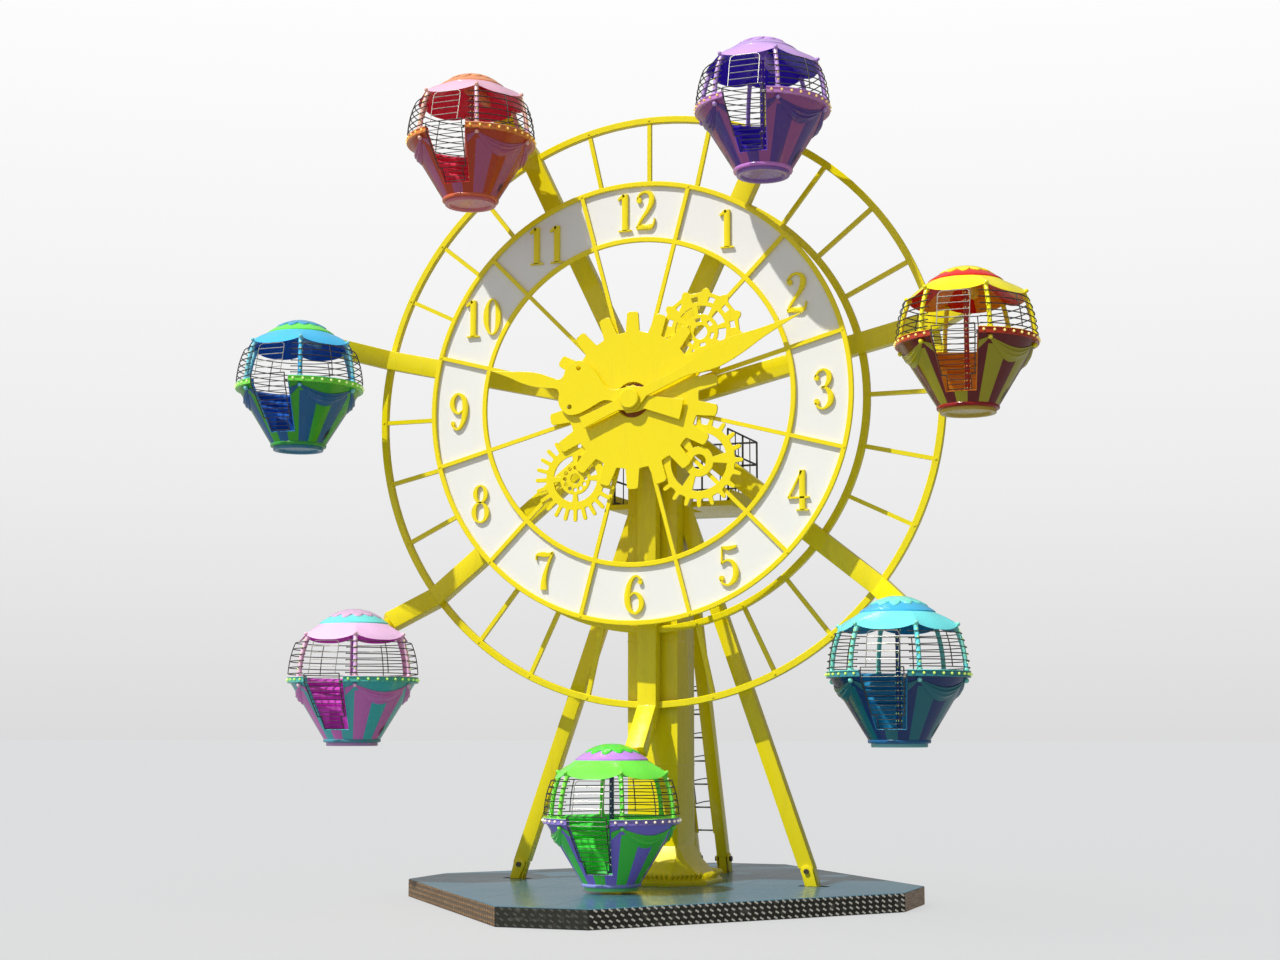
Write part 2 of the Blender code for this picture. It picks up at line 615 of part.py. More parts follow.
def build():
    clear()
    fixed = collection("fixed")
    wheel = collection("wheel")
    cabins = collection("cabins")

    place("deck", deck_mesh(), "deck", fixed)
    place("mast", mast_mesh(), "yellow", fixed)
    place("strut_left", strut_mesh(-1), "yellow", fixed)
    place("strut_right", strut_mesh(1), "yellow", fixed)
    place("rear_leg_left", leg_mesh(-1), "yellow", fixed)
    place("rear_leg_right", leg_mesh(1), "yellow", fixed)
    place("ladder", ladder_mesh(), "steel", fixed)
    place("platform", platform_mesh(), "yellow", fixed)
    place("platform_railing", railing_mesh(), "steel", fixed)
    axle = rod_y(AXLE_R, DIAL_BACK + GAP, 0.30 - GAP, 16, (0, AXLE_Z))
    place("axle", axle, "steel", fixed)
    place("dial_frame", dial_mesh(), "yellow", fixed)
    plate = ring_y(DIAL_R - 0.01, DIAL_INNER_R - 0.03, DIAL_BACK + GAP, DIAL_BACK + 0.02, 36, 5,
                   (0, AXLE_Z))
    place("dial_plate", plate, "white", fixed)
    big = joined([plate_y(toothed((0, AXLE_Z), 1.60, 1.235, 18), -1.44, -1.3923)],
                 [rod_y(0.32, -3, 0, 24, (0, AXLE_Z))])
    place("gear_main", big, "yellow", fixed)
    y0, y1 = -1.392, DIAL_FRONT - GAP
    place("gear_upper_right", small_gear((1.26, AXLE_Z + 1.14), 0.80, 0.62, 12, 0.15, 0.26, 0.50, 4,
                                         0.2, y0, y1, 0), "yellow", fixed)
    place("gear_lower_right", small_gear((1.22, AXLE_Z - 1.16), 0.81, 0.66, 20, 0.125, 0.27, 0.52, 4,
                                         0.3, y0, y1, 0), "yellow", fixed)
    place("gear_lower_left", small_gear((-1.11, AXLE_Z - 1.36), 0.77, 0.60, 24, 0.08, 0.27, 0.45, 4,
                                        0.3, y0, y1, 0), "yellow", fixed)
    arbor = joined([rod_y(0.14, -1.60, DIAL_FRONT - GAP, 16, (0, AXLE_Z)),
                    rod_y(0.18, -1.64, -1.60, 24, (0, AXLE_Z)),
                    rod_y(0.18, -1.48, -1.445, 24, (0, AXLE_Z))])
    place("hand_arbor", arbor, "yellow", fixed)
    centre = (0, 0, AXLE_Z)
    minute = mirrored([(0.0, 3.47), (0.08, 2.7), (0.17, 2.2), (0.21, 1.75), (0.16, 1.4), (0.09, 1.1),
                       (0.09, 0.3), (0.10, -0.75), (0.11, -1.0), (0.0, -1.0)])
    place("minute_hand", hand(minute, 67.3, -1.575, -1.545, 0.24), "yellow", fixed, centre)
    hour = mirrored([(0.0, 2.82), (0.05, 2.45), (0.10, 2.2), (0.13, 1.9), (0.10, 1.6), (0.09, 1.45),
                     (0.16, 1.38), (0.30, 1.36), (0.42, 1.28), (0.50, 1.12), (0.46, 0.95),
                     (0.36, 0.80), (0.24, 0.66), (0.13, 0.52), (0.10, 0.35), (0.12, -0.3),
                     (0.185, -0.98), (0.0, -0.98)])
    place("hour_hand", hand(hour, 284.0, -1.525, -1.495, 0.26), "yellow", fixed, centre)

    place("arm_spider", spider_mesh(), "yellow", wheel, centre)
    for k, angle in enumerate(arm_angles()):
        place("rim_sector_%d" % (k + 1), sector_mesh(angle), "yellow", wheel, centre)

    tub, upper, gate = tub_mesh(), upper_mesh(), gate_mesh()
    for name, angle in zip(CABINS, arm_angles()):
        px, pz = polar(angle, PIVOT_R)
        spot = shift(px, PIVOT_Y, pz - PIVOT_UP)
        pivot = (px, PIVOT_Y, pz)
        place("cabin_%s_tub" % name, moved(tub, spot), name, cabins, pivot)
        place("cabin_%s_canopy" % name, moved(upper, spot), name, cabins, pivot)
        hinge = (px + GATE_HINGE[0], PIVOT_Y + GATE_HINGE[1], pz - PIVOT_UP + 1.1)
        place("cabin_%s_gate" % name, moved(gate, spot), name, cabins, hinge)


build()
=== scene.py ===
# Ferris wheel with a clock dial: paint, lamps, rails and lathe-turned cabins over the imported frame.
# Metres, +Z up, the dial and the cabin doors face -Y.
import json
import math

import bmesh
import bpy
from mathutils import Matrix, Vector

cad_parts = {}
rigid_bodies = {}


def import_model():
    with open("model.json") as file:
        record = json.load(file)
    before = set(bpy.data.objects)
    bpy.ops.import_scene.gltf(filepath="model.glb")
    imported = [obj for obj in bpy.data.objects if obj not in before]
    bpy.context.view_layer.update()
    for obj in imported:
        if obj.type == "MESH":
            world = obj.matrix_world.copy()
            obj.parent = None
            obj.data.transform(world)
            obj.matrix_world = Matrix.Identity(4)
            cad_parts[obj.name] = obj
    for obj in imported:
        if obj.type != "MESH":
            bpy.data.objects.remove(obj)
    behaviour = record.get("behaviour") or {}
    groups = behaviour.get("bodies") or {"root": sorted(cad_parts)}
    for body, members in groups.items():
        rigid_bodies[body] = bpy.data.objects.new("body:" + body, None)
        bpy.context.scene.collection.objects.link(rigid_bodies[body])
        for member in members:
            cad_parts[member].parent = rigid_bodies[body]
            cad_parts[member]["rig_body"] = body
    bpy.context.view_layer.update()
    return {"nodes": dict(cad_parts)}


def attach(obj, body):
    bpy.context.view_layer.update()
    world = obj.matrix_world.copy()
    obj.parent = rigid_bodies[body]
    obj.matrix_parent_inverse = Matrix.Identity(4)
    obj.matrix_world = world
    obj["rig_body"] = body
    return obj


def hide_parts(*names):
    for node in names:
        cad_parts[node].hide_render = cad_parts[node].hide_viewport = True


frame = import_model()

hubZ = 8.84


#sums on sockets, and sheets of nodes

class Wire:
    # an output socket that can stand in a sum
    def __init__(self, sheet, socket):
        self.sheet = sheet
        self.socket = socket

    def sum(self, operation, first, second=0.0):
        return self.sheet.add("ShaderNodeMath", {"operation": operation}, {0: first, 1: second})

    def __add__(self, other):
        return self.sum("ADD", self, other)

    __radd__ = __add__

    def __mul__(self, other):
        return self.sum("MULTIPLY", self, other)

    __rmul__ = __mul__

    def __sub__(self, other):
        return self.sum("SUBTRACT", self, other)

    def __rsub__(self, other):
        return self.sum("SUBTRACT", other, self)

    def __truediv__(self, other):
        return self.sum("DIVIDE", self, other)

    def __gt__(self, other):
        return self.sum("GREATER_THAN", self, other)

    def __lt__(self, other):
        return self.sum("LESS_THAN", self, other)

    def __or__(self, other):
        return self.sum("MAXIMUM", self, other)


class NodeSheet:
    def __init__(self, tree):
        self.tree = tree

    def add(self, kind, settings=None, sockets=None, out=0):
        node = self.tree.nodes.new(kind)
        for name, value in (settings or {}).items():
            if name == "stops":
                ramp = node.color_ramp
                ramp.elements[0].position, ramp.elements[1].position = value[0][0], value[-1][0]
                for place, _ in value[1:-1]:
                    ramp.elements.new(place)
                for stop, (_, level) in zip(ramp.elements, value):
                    stop.color = (level, level, level, 1)
            else:
                setattr(node, name, value)
        for key, value in (sockets or {}).items():
            for item in value if isinstance(value, list) else [value]:
                if isinstance(item, Wire):
                    self.tree.links.new(item.socket, node.inputs[key])
                else:
                    node.inputs[key].default_value = item
        return Wire(self, node.outputs[out])


#finishes

def tone(code, factor=1.0):
    parts = [int(code[i:i + 2], 16) / 255 for i in (1, 3, 5)]
    linear = [c / 12.92 if c < 0.0405 else ((c + 0.055) / 1.055) ** 2.4 for c in parts]
    return (*[min(1.0, c * factor) for c in linear], 1.0)


class Finish(NodeSheet):
    # one material round a Principled shader, patterned on Object coordinates
    def __init__(self, name, fixed):
        self.material = bpy.data.materials.new(name)
        self.material.use_nodes = True
        super().__init__(self.material.node_tree)
        self.shader = self.tree.nodes["Principled BSDF"]
        for key, value in fixed.items():
            self.shader.inputs[key].default_value = value
        self.place = self.add("ShaderNodeTexCoord", out="Object")

    def axis(self, letter):
        return self.add("ShaderNodeSeparateXYZ", {}, {0: self.place}, letter)

    def noise(self, scale, detail=2.0, stretch=None):
        where = self.place
        if stretch:
            where = self.add("ShaderNodeMapping", {}, {"Vector": where, "Scale": stretch})
        return self.add("ShaderNodeTexNoise", {}, {"Vector": where, "Scale": scale, "Detail": detail})

    def ramp(self, value, stops):
        return self.add("ShaderNodeValToRGB", {"stops": stops}, {0: value})

    def mix(self, mask, first, second, blend="MIX"):
        return self.add("ShaderNodeMix", {"data_type": "RGBA", "blend_type": blend},
                        {0: mask, 6: first, 7: second}, 2)

    def bump(self, height, strength, distance):
        return self.add("ShaderNodeBump", {}, {"Height": height, "Strength": strength,
                                               "Distance": distance})

    def feed(self, key, wire):
        self.tree.links.new(wire.socket, self.shader.inputs[key])


paintSettings = {"coat": 0.24, "coatRoughness": 0.07, "shine": 0.34, "peelScale": 60.0,
                 "peelDepth": 0.0016, "patch": 0.10, "chips": 0.05}


def lacquer(name, code, gloss=0.22, dust="#8f8a78", soil=0.16):
    # sprayed enamel: slow drift of tone, dust in streaks, orange peel and a few chips
    sheet = Finish(name, {"Coat Weight": paintSettings["coat"],
                          "Coat Roughness": paintSettings["coatRoughness"],
                          "Specular IOR Level": paintSettings["shine"]})
    drift = sheet.ramp(sheet.noise(0.9, 3.0), [(0.3, 0.0), (0.7, 1.0)])
    base = sheet.mix(drift * paintSettings["patch"], tone(code), tone(code, 0.72))
    streak = sheet.ramp(sheet.noise(3.0, 6.0, (3.0, 3.0, 0.35)), [(0.52, 0.0), (0.78, 1.0)])
    fleck = sheet.ramp(sheet.noise(26.0, 5.0), [(0.66, 0.0), (0.72, 1.0)])
    base = sheet.mix(streak * soil, base, tone(dust))
    base = sheet.mix(fleck * paintSettings["chips"], base, tone(code, 0.45))
    sheet.feed("Base Color", base)
    sheet.feed("Roughness", gloss + 0.16 * streak + 0.08 * drift + 0.12 * fleck)
    peel = sheet.noise(paintSettings["peelScale"], 2.0)
    sheet.feed("Normal", sheet.bump(peel - 0.4 * fleck, 0.35, paintSettings["peelDepth"]))
    return sheet.material


def steel(name, code, gloss=0.45):
    # painted round bar, rubbed bright here and there
    sheet = Finish(name, {"Metallic": 0.35})
    worn = sheet.ramp(sheet.noise(9.0, 6.0), [(0.55, 0.0), (0.75, 1.0)])
    grain = sheet.noise(140.0, 3.0)
    sheet.feed("Base Color", sheet.mix(worn * 0.35, tone(code), tone("#8c8a80")))
    sheet.feed("Roughness", gloss - 0.14 * worn + 0.10 * grain)
    sheet.feed("Normal", sheet.bump(grain, 0.25, 0.001))
    return sheet.material


def lamp(name, code, glow=0.35):
    # frosted bulb, mottled a little towards white
    sheet = Finish(name, {"Roughness": 0.25, "Emission Strength": glow, "Coat Weight": 0.5})
    mist = sheet.noise(90.0, 2.0)
    colour = sheet.mix(0.25 * mist, tone(code), tone("#ffffff"))
    sheet.feed("Base Color", colour)
    sheet.feed("Emission Color", colour)
    return sheet.material


def enamel(name, code):
    # white vitreous dial: faint cloud, hairline grime
    sheet = Finish(name, {"Coat Weight": 0.5})
    cloud = sheet.noise(1.4, 4.0)
    hair = sheet.ramp(sheet.noise(14.0, 8.0), [(0.58, 0.0), (0.72, 1.0)])
    base = sheet.mix(0.10 * cloud, tone(code), tone("#c9c6b4"))
    sheet.feed("Base Color", sheet.mix(0.12 * hair, base, tone("#9a9684")))
    sheet.feed("Roughness", 0.24 + 0.14 * hair)
    sheet.feed("Normal", sheet.bump(sheet.noise(35.0, 2.0), 0.2, 0.0015))
    return sheet.material


def deckSheet(name, code):
    # glossy floor panels: seams on a grid, long scuffs, puddled sheen
    sheet = Finish(name, {"Coat Weight": 0.22, "Coat Roughness": 0.12, "Specular IOR Level": 0.35})
    x, y = sheet.axis("X"), sheet.axis("Y")
    across = x.sum("PINGPONG", x, 0.77) < 0.006
    along = y.sum("PINGPONG", y, 0.905) < 0.006
    seam = across | along
    cloud = sheet.ramp(sheet.noise(0.55, 4.0), [(0.3, 0.0), (0.7, 1.0)])
    scuff = sheet.ramp(sheet.noise(2.2, 8.0, (1.0, 5.0, 1.0)), [(0.56, 0.0), (0.76, 1.0)])
    base = sheet.mix(0.22 * cloud, tone(code), tone(code, 0.62))
    base = sheet.mix(0.14 * scuff, base, tone("#9fb0b4"))
    sheet.feed("Base Color", sheet.mix(0.65 * seam, base, tone("#16303a")))
    sheet.feed("Roughness", 0.16 + 0.12 * cloud + 0.12 * scuff + 0.3 * seam)
    fine = sheet.noise(28.0, 3.0)
    sheet.feed("Normal", sheet.bump(0.25 * fine - seam, 0.35, 0.003))
    return sheet.material


def timber(name, code, dark):
    # sealed plank edge: long grain, darker bands, scratches
    sheet = Finish(name, {"Coat Weight": 0.2})
    grain = sheet.noise(6.0, 8.0, (0.5, 0.5, 9.0))
    band = sheet.ramp(grain, [(0.35, 0.0), (0.5, 0.5), (0.68, 1.0)])
    pore = sheet.ramp(sheet.noise(40.0, 4.0, (0.3, 0.3, 4.0)), [(0.55, 0.0), (0.7, 1.0)])
    base = sheet.mix(band, tone(code), tone(dark))
    sheet.feed("Base Color", sheet.mix(0.5 * pore, base, tone(dark, 0.5)))
    sheet.feed("Roughness", 0.4 + 0.2 * band)
    sheet.feed("Normal", sheet.bump(grain - 0.5 * pore, 0.4, 0.004))
    return sheet.material


yellow = lacquer("frameYellow", "#f0de0e", 0.2, "#80762c", 0.14)
yellowPlain = lacquer("dialYellow", "#f8e30c", 0.24, "#a08c28", 0.08)
darkSteel = steel("darkBar", "#3b3a35")
dialWhite = enamel("dialEnamel", "#f2f2ee")
recess = lacquer("hubRecess", "#b4682a", 0.4, "#5a2c10", 0.2)
pinSteel = steel("pinEye", "#4d4636", 0.35)
deckBlue = deckSheet("deckTop", "#457488")
treadDark = steel("treadPlate", "#2f2f28", 0.4)
treadBrown = steel("treadBrown", "#6b5b48", 0.45)
treadWorn = steel("treadWorn", "#e2e0d4", 0.3)
treadGrey = steel("treadGrey", "#565a55", 0.3)
plankTan = timber("plankEdge", "#a8845a", "#6f5230")
boltSteel = steel("boltHead", "#c8b41e", 0.3)


#node trees for what repeats or follows a path

class GrowTree(NodeSheet):
    def __init__(self, name, sizes):
        self.group = bpy.data.node_groups.new(name, "GeometryNodeTree")
        faces = self.group.interface
        faces.new_socket("Geometry", in_out="OUTPUT", socket_type="NodeSocketGeometry")
        faces.new_socket("Geometry", in_out="INPUT", socket_type="NodeSocketGeometry")
        for label, value in sizes.items():
            kind = "Int" if isinstance(value, int) else "Vector" if isinstance(value, tuple) else "Float"
            made = faces.new_socket(label, in_out="INPUT", socket_type="NodeSocket" + kind)
            made.default_value = value
        faces.new_socket("Finish", in_out="INPUT", socket_type="NodeSocketMaterial")
        super().__init__(self.group)
        self.source = self.group.nodes.new("NodeGroupInput")

    def given(self, label):
        return Wire(self, self.source.outputs[label])

    def end(self, geometry):
        real = self.add("GeometryNodeRealizeInstances", {}, {0: geometry})
        done = self.add("GeometryNodeSetMaterial", {}, {"Geometry": real, "Material": self.given("Finish")})
        sink = self.group.nodes.new("NodeGroupOutput")
        self.group.links.new(done.socket, sink.inputs[0])

    def grow(self, mesh, finish, **sizes):
        holder = bpy.data.objects.new("seed", mesh)
        bpy.context.scene.collection.objects.link(holder)
        step = holder.modifiers.new("grow", "NODES")
        step.node_group = self.group
        for item in self.group.interface.items_tree:
            if item.in_out == "INPUT" and item.name in sizes:
                step[item.identifier] = sizes[item.name]
            elif item.in_out == "INPUT" and item.name == "Finish":
                step[item.identifier] = finish
        graph = bpy.context.evaluated_depsgraph_get()
        made = bpy.data.meshes.new_from_object(holder.evaluated_get(graph))
        bpy.data.objects.remove(holder)
        return made


def rodTree():
    # round rod along every edge path, mitred at the bends
    tree = GrowTree("rods", {"Radius": 0.01, "Sides": 8})
    path = tree.add("GeometryNodeMeshToCurve", {}, {0: tree.given("Geometry")})
    ring = tree.add("GeometryNodeCurvePrimitiveCircle", {},
                    {"Resolution": tree.given("Sides"), "Radius": tree.given("Radius")})
    tree.end(tree.add("GeometryNodeCurveToMesh", {},
                      {"Curve": path, "Profile Curve": ring, "Fill Caps": True}))
    return tree


def ballTree():
    # ball at every point
    tree = GrowTree("balls", {"Radius": 0.03, "Segments": 10, "Rings": 6})
    ball = tree.add("GeometryNodeMeshUVSphere", {}, {"Segments": tree.given("Segments"),
                    "Rings": tree.given("Rings"), "Radius": tree.given("Radius")})
    tree.end(tree.add("GeometryNodeInstanceOnPoints", {},
                      {"Points": tree.given("Geometry"), "Instance": ball}))
    return tree


def pitchTree():
    # ball at an even pitch along every edge path
    tree = GrowTree("pitchedBalls", {"Radius": 0.02, "Pitch": 0.1})
    path = tree.add("GeometryNodeMeshToCurve", {}, {0: tree.given("Geometry")})
    spaced = tree.add("GeometryNodeResampleCurve", {"mode": "LENGTH"},
                      {"Curve": path, "Length": tree.given("Pitch")})
    ball = tree.add("GeometryNodeMeshUVSphere", {}, {"Segments": 8, "Rings": 5,
                                                     "Radius": tree.given("Radius")})
    tree.end(tree.add("GeometryNodeInstanceOnPoints", {}, {"Points": spaced, "Instance": ball}))
    return tree


def blockTree():
    # block at an even pitch along an edge path, turned to follow it and leaned by a tilt
    tree = GrowTree("pitchedBlocks", {"Pitch": 0.1, "Size": (0.03, 0.03, 0.1), "Tilt": (0.0, 0.0, 0.0)})
    path = tree.add("GeometryNodeMeshToCurve", {}, {0: tree.given("Geometry")})
    spaced = tree.add("GeometryNodeResampleCurve", {"mode": "LENGTH"},
                      {"Curve": path, "Length": tree.given("Pitch")})
    block = tree.add("GeometryNodeMeshCube", {}, {"Size": tree.given("Size")})
    leaned = tree.add("GeometryNodeTransform", {}, {"Geometry": block, "Rotation": tree.given("Tilt")})
    heading = tree.add("GeometryNodeInputTangent")
    turn = tree.add("FunctionNodeAlignRotationToVector", {"axis": "X", "pivot_axis": "Z"},
                    {"Vector": heading})
    tree.end(tree.add("GeometryNodeInstanceOnPoints", {},
                      {"Points": spaced, "Instance": leaned, "Rotation": turn}))
    return tree


def spokeTree():
    # bars round the hub's axis between two radii
    tree = GrowTree("spokes", {"Count": 12, "Inner": 1.0, "Outer": 2.0, "Width": 0.07, "Depth": 0.06,
                               "Middle": 0.0, "First": 0.0, "Step": 0.5, "Height": 8.84})
    inner, outer = tree.given("Inner"), tree.given("Outer")
    size = tree.add("ShaderNodeCombineXYZ", {}, {0: tree.given("Width"), 1: tree.given("Depth"),
                                                 2: outer - inner})
    bar = tree.add("GeometryNodeMeshCube", {}, {"Size": size})
    out = tree.add("ShaderNodeCombineXYZ", {}, {2: (inner + outer) * 0.5})
    bar = tree.add("GeometryNodeTransform", {}, {"Geometry": bar, "Translation": out})
    hub = tree.add("ShaderNodeCombineXYZ", {}, {1: tree.given("Middle"), 2: tree.given("Height")})
    points = tree.add("GeometryNodePoints", {}, {"Count": tree.given("Count"), "Position": hub})
    turn = tree.add("GeometryNodeInputIndex") * tree.given("Step") + tree.given("First")
    angle = tree.add("ShaderNodeCombineXYZ", {}, {1: turn})
    tree.end(tree.add("GeometryNodeInstanceOnPoints", {},
                      {"Points": points, "Instance": bar, "Rotation": angle}))
    return tree


def boltTree():
    # hexagon head on a washer at every point, facing one way
    tree = GrowTree("bolts", {"Radius": 0.03, "Facing": (0.0, -1.0, 0.0)})
    radius = tree.given("Radius")
    head = tree.add("GeometryNodeMeshCylinder", {}, {"Vertices": 6, "Radius": radius,
                                                     "Depth": radius * 1.4})
    washer = tree.add("GeometryNodeMeshCylinder", {}, {"Vertices": 14, "Radius": radius * 1.6,
                                                       "Depth": radius * 0.5})
    both = tree.add("GeometryNodeJoinGeometry", {}, {0: [head, washer]})
    turn = tree.add("FunctionNodeAlignRotationToVector", {"axis": "Z"}, {"Vector": tree.given("Facing")})
    tree.end(tree.add("GeometryNodeInstanceOnPoints", {},
                      {"Points": tree.given("Geometry"), "Instance": both, "Rotation": turn}))
    return tree


rods, balls, pitched, blocks, spokes, bolts = (rodTree(), ballTree(), pitchTree(), blockTree(),
                                               spokeTree(), boltTree())
print("finishes and node trees ready")


#mesh helpers

def paths(*lines, closed=False):
    # loose edges through each line of points
    points, edges = [], []
    for line in lines:
        start = len(points)
        points += [tuple(p) for p in line]
        edges += [(start + i, start + i + 1) for i in range(len(line) - 1)]
        if closed:
            edges.append((len(points) - 1, start))
    mesh = bpy.data.meshes.new("paths")
    mesh.from_pydata(points, edges, [])
    return mesh


def spots(points):
    return paths(*[[p] for p in points])


class Shape:
    # points and faces gathered for one mesh, every face with a role
    def __init__(self):
        self.points, self.faces, self.roles, self.extra = [], [], [], []

    def grid(self, rows, role, closed=True, loop=True):
        # closed: each row runs round; loop: the last row meets the first; role may be a function
        start, count = len(self.points), len(rows[0])
        self.points += [tuple(p) for row in rows for p in row]
        for r in range(len(rows) if loop else len(rows) - 1):
            s = (r + 1) % len(rows)
            for i in range(count if closed else count - 1):
                j = (i + 1) % count
                self.faces.append((start + r * count + i, start + r * count + j,
                                   start + s * count + j, start + s * count + i))
                self.roles.append(role(r, i) if callable(role) else role)
        return start

    def cap(self, indices, role):
        self.faces.append(tuple(indices))
        self.roles.append(role)

    def add(self, mesh, role):
        self.extra.append((mesh, role))

    def mesh(self, name, paints):
        made = bmesh.new()
        order = list(dict.fromkeys(self.roles + [role for _, role in self.extra]))
        corners = [made.verts.new(p) for p in self.points]
        for face, role in zip(self.faces, self.roles):
            if len(set(face)) > 2:
                try:
                    made.faces.new([corners[i] for i in face]).material_index = order.index(role)
                except ValueError:
                    pass
        bmesh.ops.remove_doubles(made, verts=made.verts, dist=1e-5)
        bmesh.ops.dissolve_degenerate(made, edges=made.edges, dist=1e-6)
        bmesh.ops.recalc_face_normals(made, faces=made.faces)
        for extra, role in self.extra:
            before = len(made.faces)
            made.from_mesh(extra)
            made.faces.ensure_lookup_table()
            for face in made.faces[before:]:
                face.material_index = order.index(role)
        mesh = bpy.data.meshes.new(name)
        made.to_mesh(mesh)
        made.free()
        mesh.shade_smooth()
        mesh.set_sharp_from_angle(angle=math.radians(38))
        for role in order:
            mesh.materials.append(paints[role] if isinstance(paints, dict) else paints)
        return mesh


def piece(name, mesh, body, slot=None, stands=()):
    thing = bpy.data.objects.new(name, mesh)
    bpy.context.scene.collection.objects.link(thing)
    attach(thing, body)
    if stands:
        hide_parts(*stands)
    return thing


def settled(mesh, finish, sharp=38):
    mesh.materials.clear()
    mesh.materials.append(finish)
    mesh.shade_smooth()
    mesh.set_sharp_from_angle(angle=math.radians(sharp))
    return mesh


def welded(meshes, name):
    # several meshes with one finish each, kept, in one mesh
    made, finishes = bmesh.new(), []
    for mesh in meshes:
        before = len(made.faces)
        made.from_mesh(mesh)
        made.faces.ensure_lookup_table()
        for face in made.faces[before:]:
            finish = mesh.materials[min(face.material_index, len(mesh.materials) - 1)]
            if finish not in finishes:
                finishes.append(finish)
            face.material_index = finishes.index(finish)
    mesh = bpy.data.meshes.new(name)
    made.to_mesh(mesh)
    made.free()
    for finish in finishes:
        mesh.materials.append(finish)
    mesh.shade_smooth()
    mesh.set_sharp_from_angle(angle=math.radians(38))
    return mesh


def soften(node, width, finish, slot, extras=()):
    # the node's own shape with rounded edges
    made = bmesh.new()
    made.from_mesh(frame["nodes"][node].data)
    bmesh.ops.remove_doubles(made, verts=made.verts, dist=1e-4)
    bmesh.ops.dissolve_limit(made, angle_limit=math.radians(0.8), verts=made.verts, edges=made.edges)
    hard = [e for e in made.edges if len(e.link_faces) == 2 and e.calc_face_angle(0) > math.radians(25)]
    bmesh.ops.bevel(made, geom=hard, offset=width, segments=2, profile=0.6, affect="EDGES",
                    clamp_overlap=True)
    mesh = bpy.data.meshes.new(node + "Skin")
    made.to_mesh(mesh)
    made.free()
    settled(mesh, finish, 30)
    body = frame["nodes"][node]["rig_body"]
    if extras:
        mesh = welded([mesh, *extras], node + "Skin")
    return piece(node + "Skin", mesh, body, slot, [node])


def circlePoints(radius, count, centre=(0.0, 0.0), first=0.0, span=360.0):
    whole = count if span >= 360.0 else count + 1
    return [(centre[0] + radius * math.sin(math.radians(first + span * i / count)),
             centre[1] + radius * math.cos(math.radians(first + span * i / count)))
            for i in range(whole)]


def plate(loops, front, back, bevel, finish):
    # flat plate with holes, standing in the XZ plane between two depths
    curve = bpy.data.curves.new("outline", "CURVE")
    curve.dimensions, curve.fill_mode = "2D", "BOTH"
    curve.extrude, curve.bevel_depth = (back - front) / 2 - bevel, bevel
    curve.bevel_resolution, curve.offset = 1, -bevel
    for loop in loops:
        line = curve.splines.new("POLY")
        line.points.add(len(loop) - 1)
        for point, (x, z) in zip(line.points, loop):
            point.co = (x, z, 0, 1)
        line.use_cyclic_u = True
    holder = bpy.data.objects.new("outline", curve)
    bpy.context.scene.collection.objects.link(holder)
    graph = bpy.context.evaluated_depsgraph_get()
    mesh = bpy.data.meshes.new_from_object(holder.evaluated_get(graph))
    bpy.data.objects.remove(holder)
    mesh.transform(Matrix.Translation((0, (front + back) / 2, 0)) @ Matrix.Rotation(math.pi / 2, 4, "X"))
    made = bmesh.new()
    made.from_mesh(mesh)
    bmesh.ops.remove_doubles(made, verts=made.verts, dist=1e-5)
    bmesh.ops.recalc_face_normals(made, faces=made.faces)
    made.to_mesh(mesh)
    made.free()
    return settled(mesh, finish, 14)


def turned(mesh, degrees):
    mesh.transform(Matrix.Translation((0, 0, hubZ)) @ Matrix.Rotation(math.radians(degrees), 4, "Y")
                   @ Matrix.Translation((0, 0, -hubZ)))
    return mesh


def hoopY(inner, outer, front, back, bevel, finish, count=144, centre=(0.0, hubZ)):
    # flat ring round an axis along Y with its edges eased
    b = bevel
    profile = [(inner, front + b), (inner + b, front), (outer - b, front), (outer, front + b),
               (outer, back - b), (outer - b, back), (inner + b, back), (inner, back - b)]
    shape = Shape()
    shape.grid([[(x, y, z) for x, z in circlePoints(r, count, centre)] for r, y in profile], "all")
    return shape.mesh("hoop", finish)


# deck, mast, legs

deckSettings = {"half": (4.62, 5.43), "corner": (0.78, 0.77), "top": 0.32, "lozengePitch": 0.133,
                "lozengeSize": (0.066, 0.012, 0.028), "rows": (0.036, 0.12, 0.204, 0.286)}


def deckCorners(inset=0.0):
    hx, hy = (h - inset for h in deckSettings["half"])
    sx, sy = (c - inset * 0.4 for c in deckSettings["corner"])
    return [(-sx, -hy), (sx, -hy), (hx, -sy), (hx, sy), (sx, hy), (-sx, hy), (-hx, sy), (-hx, -sy)]


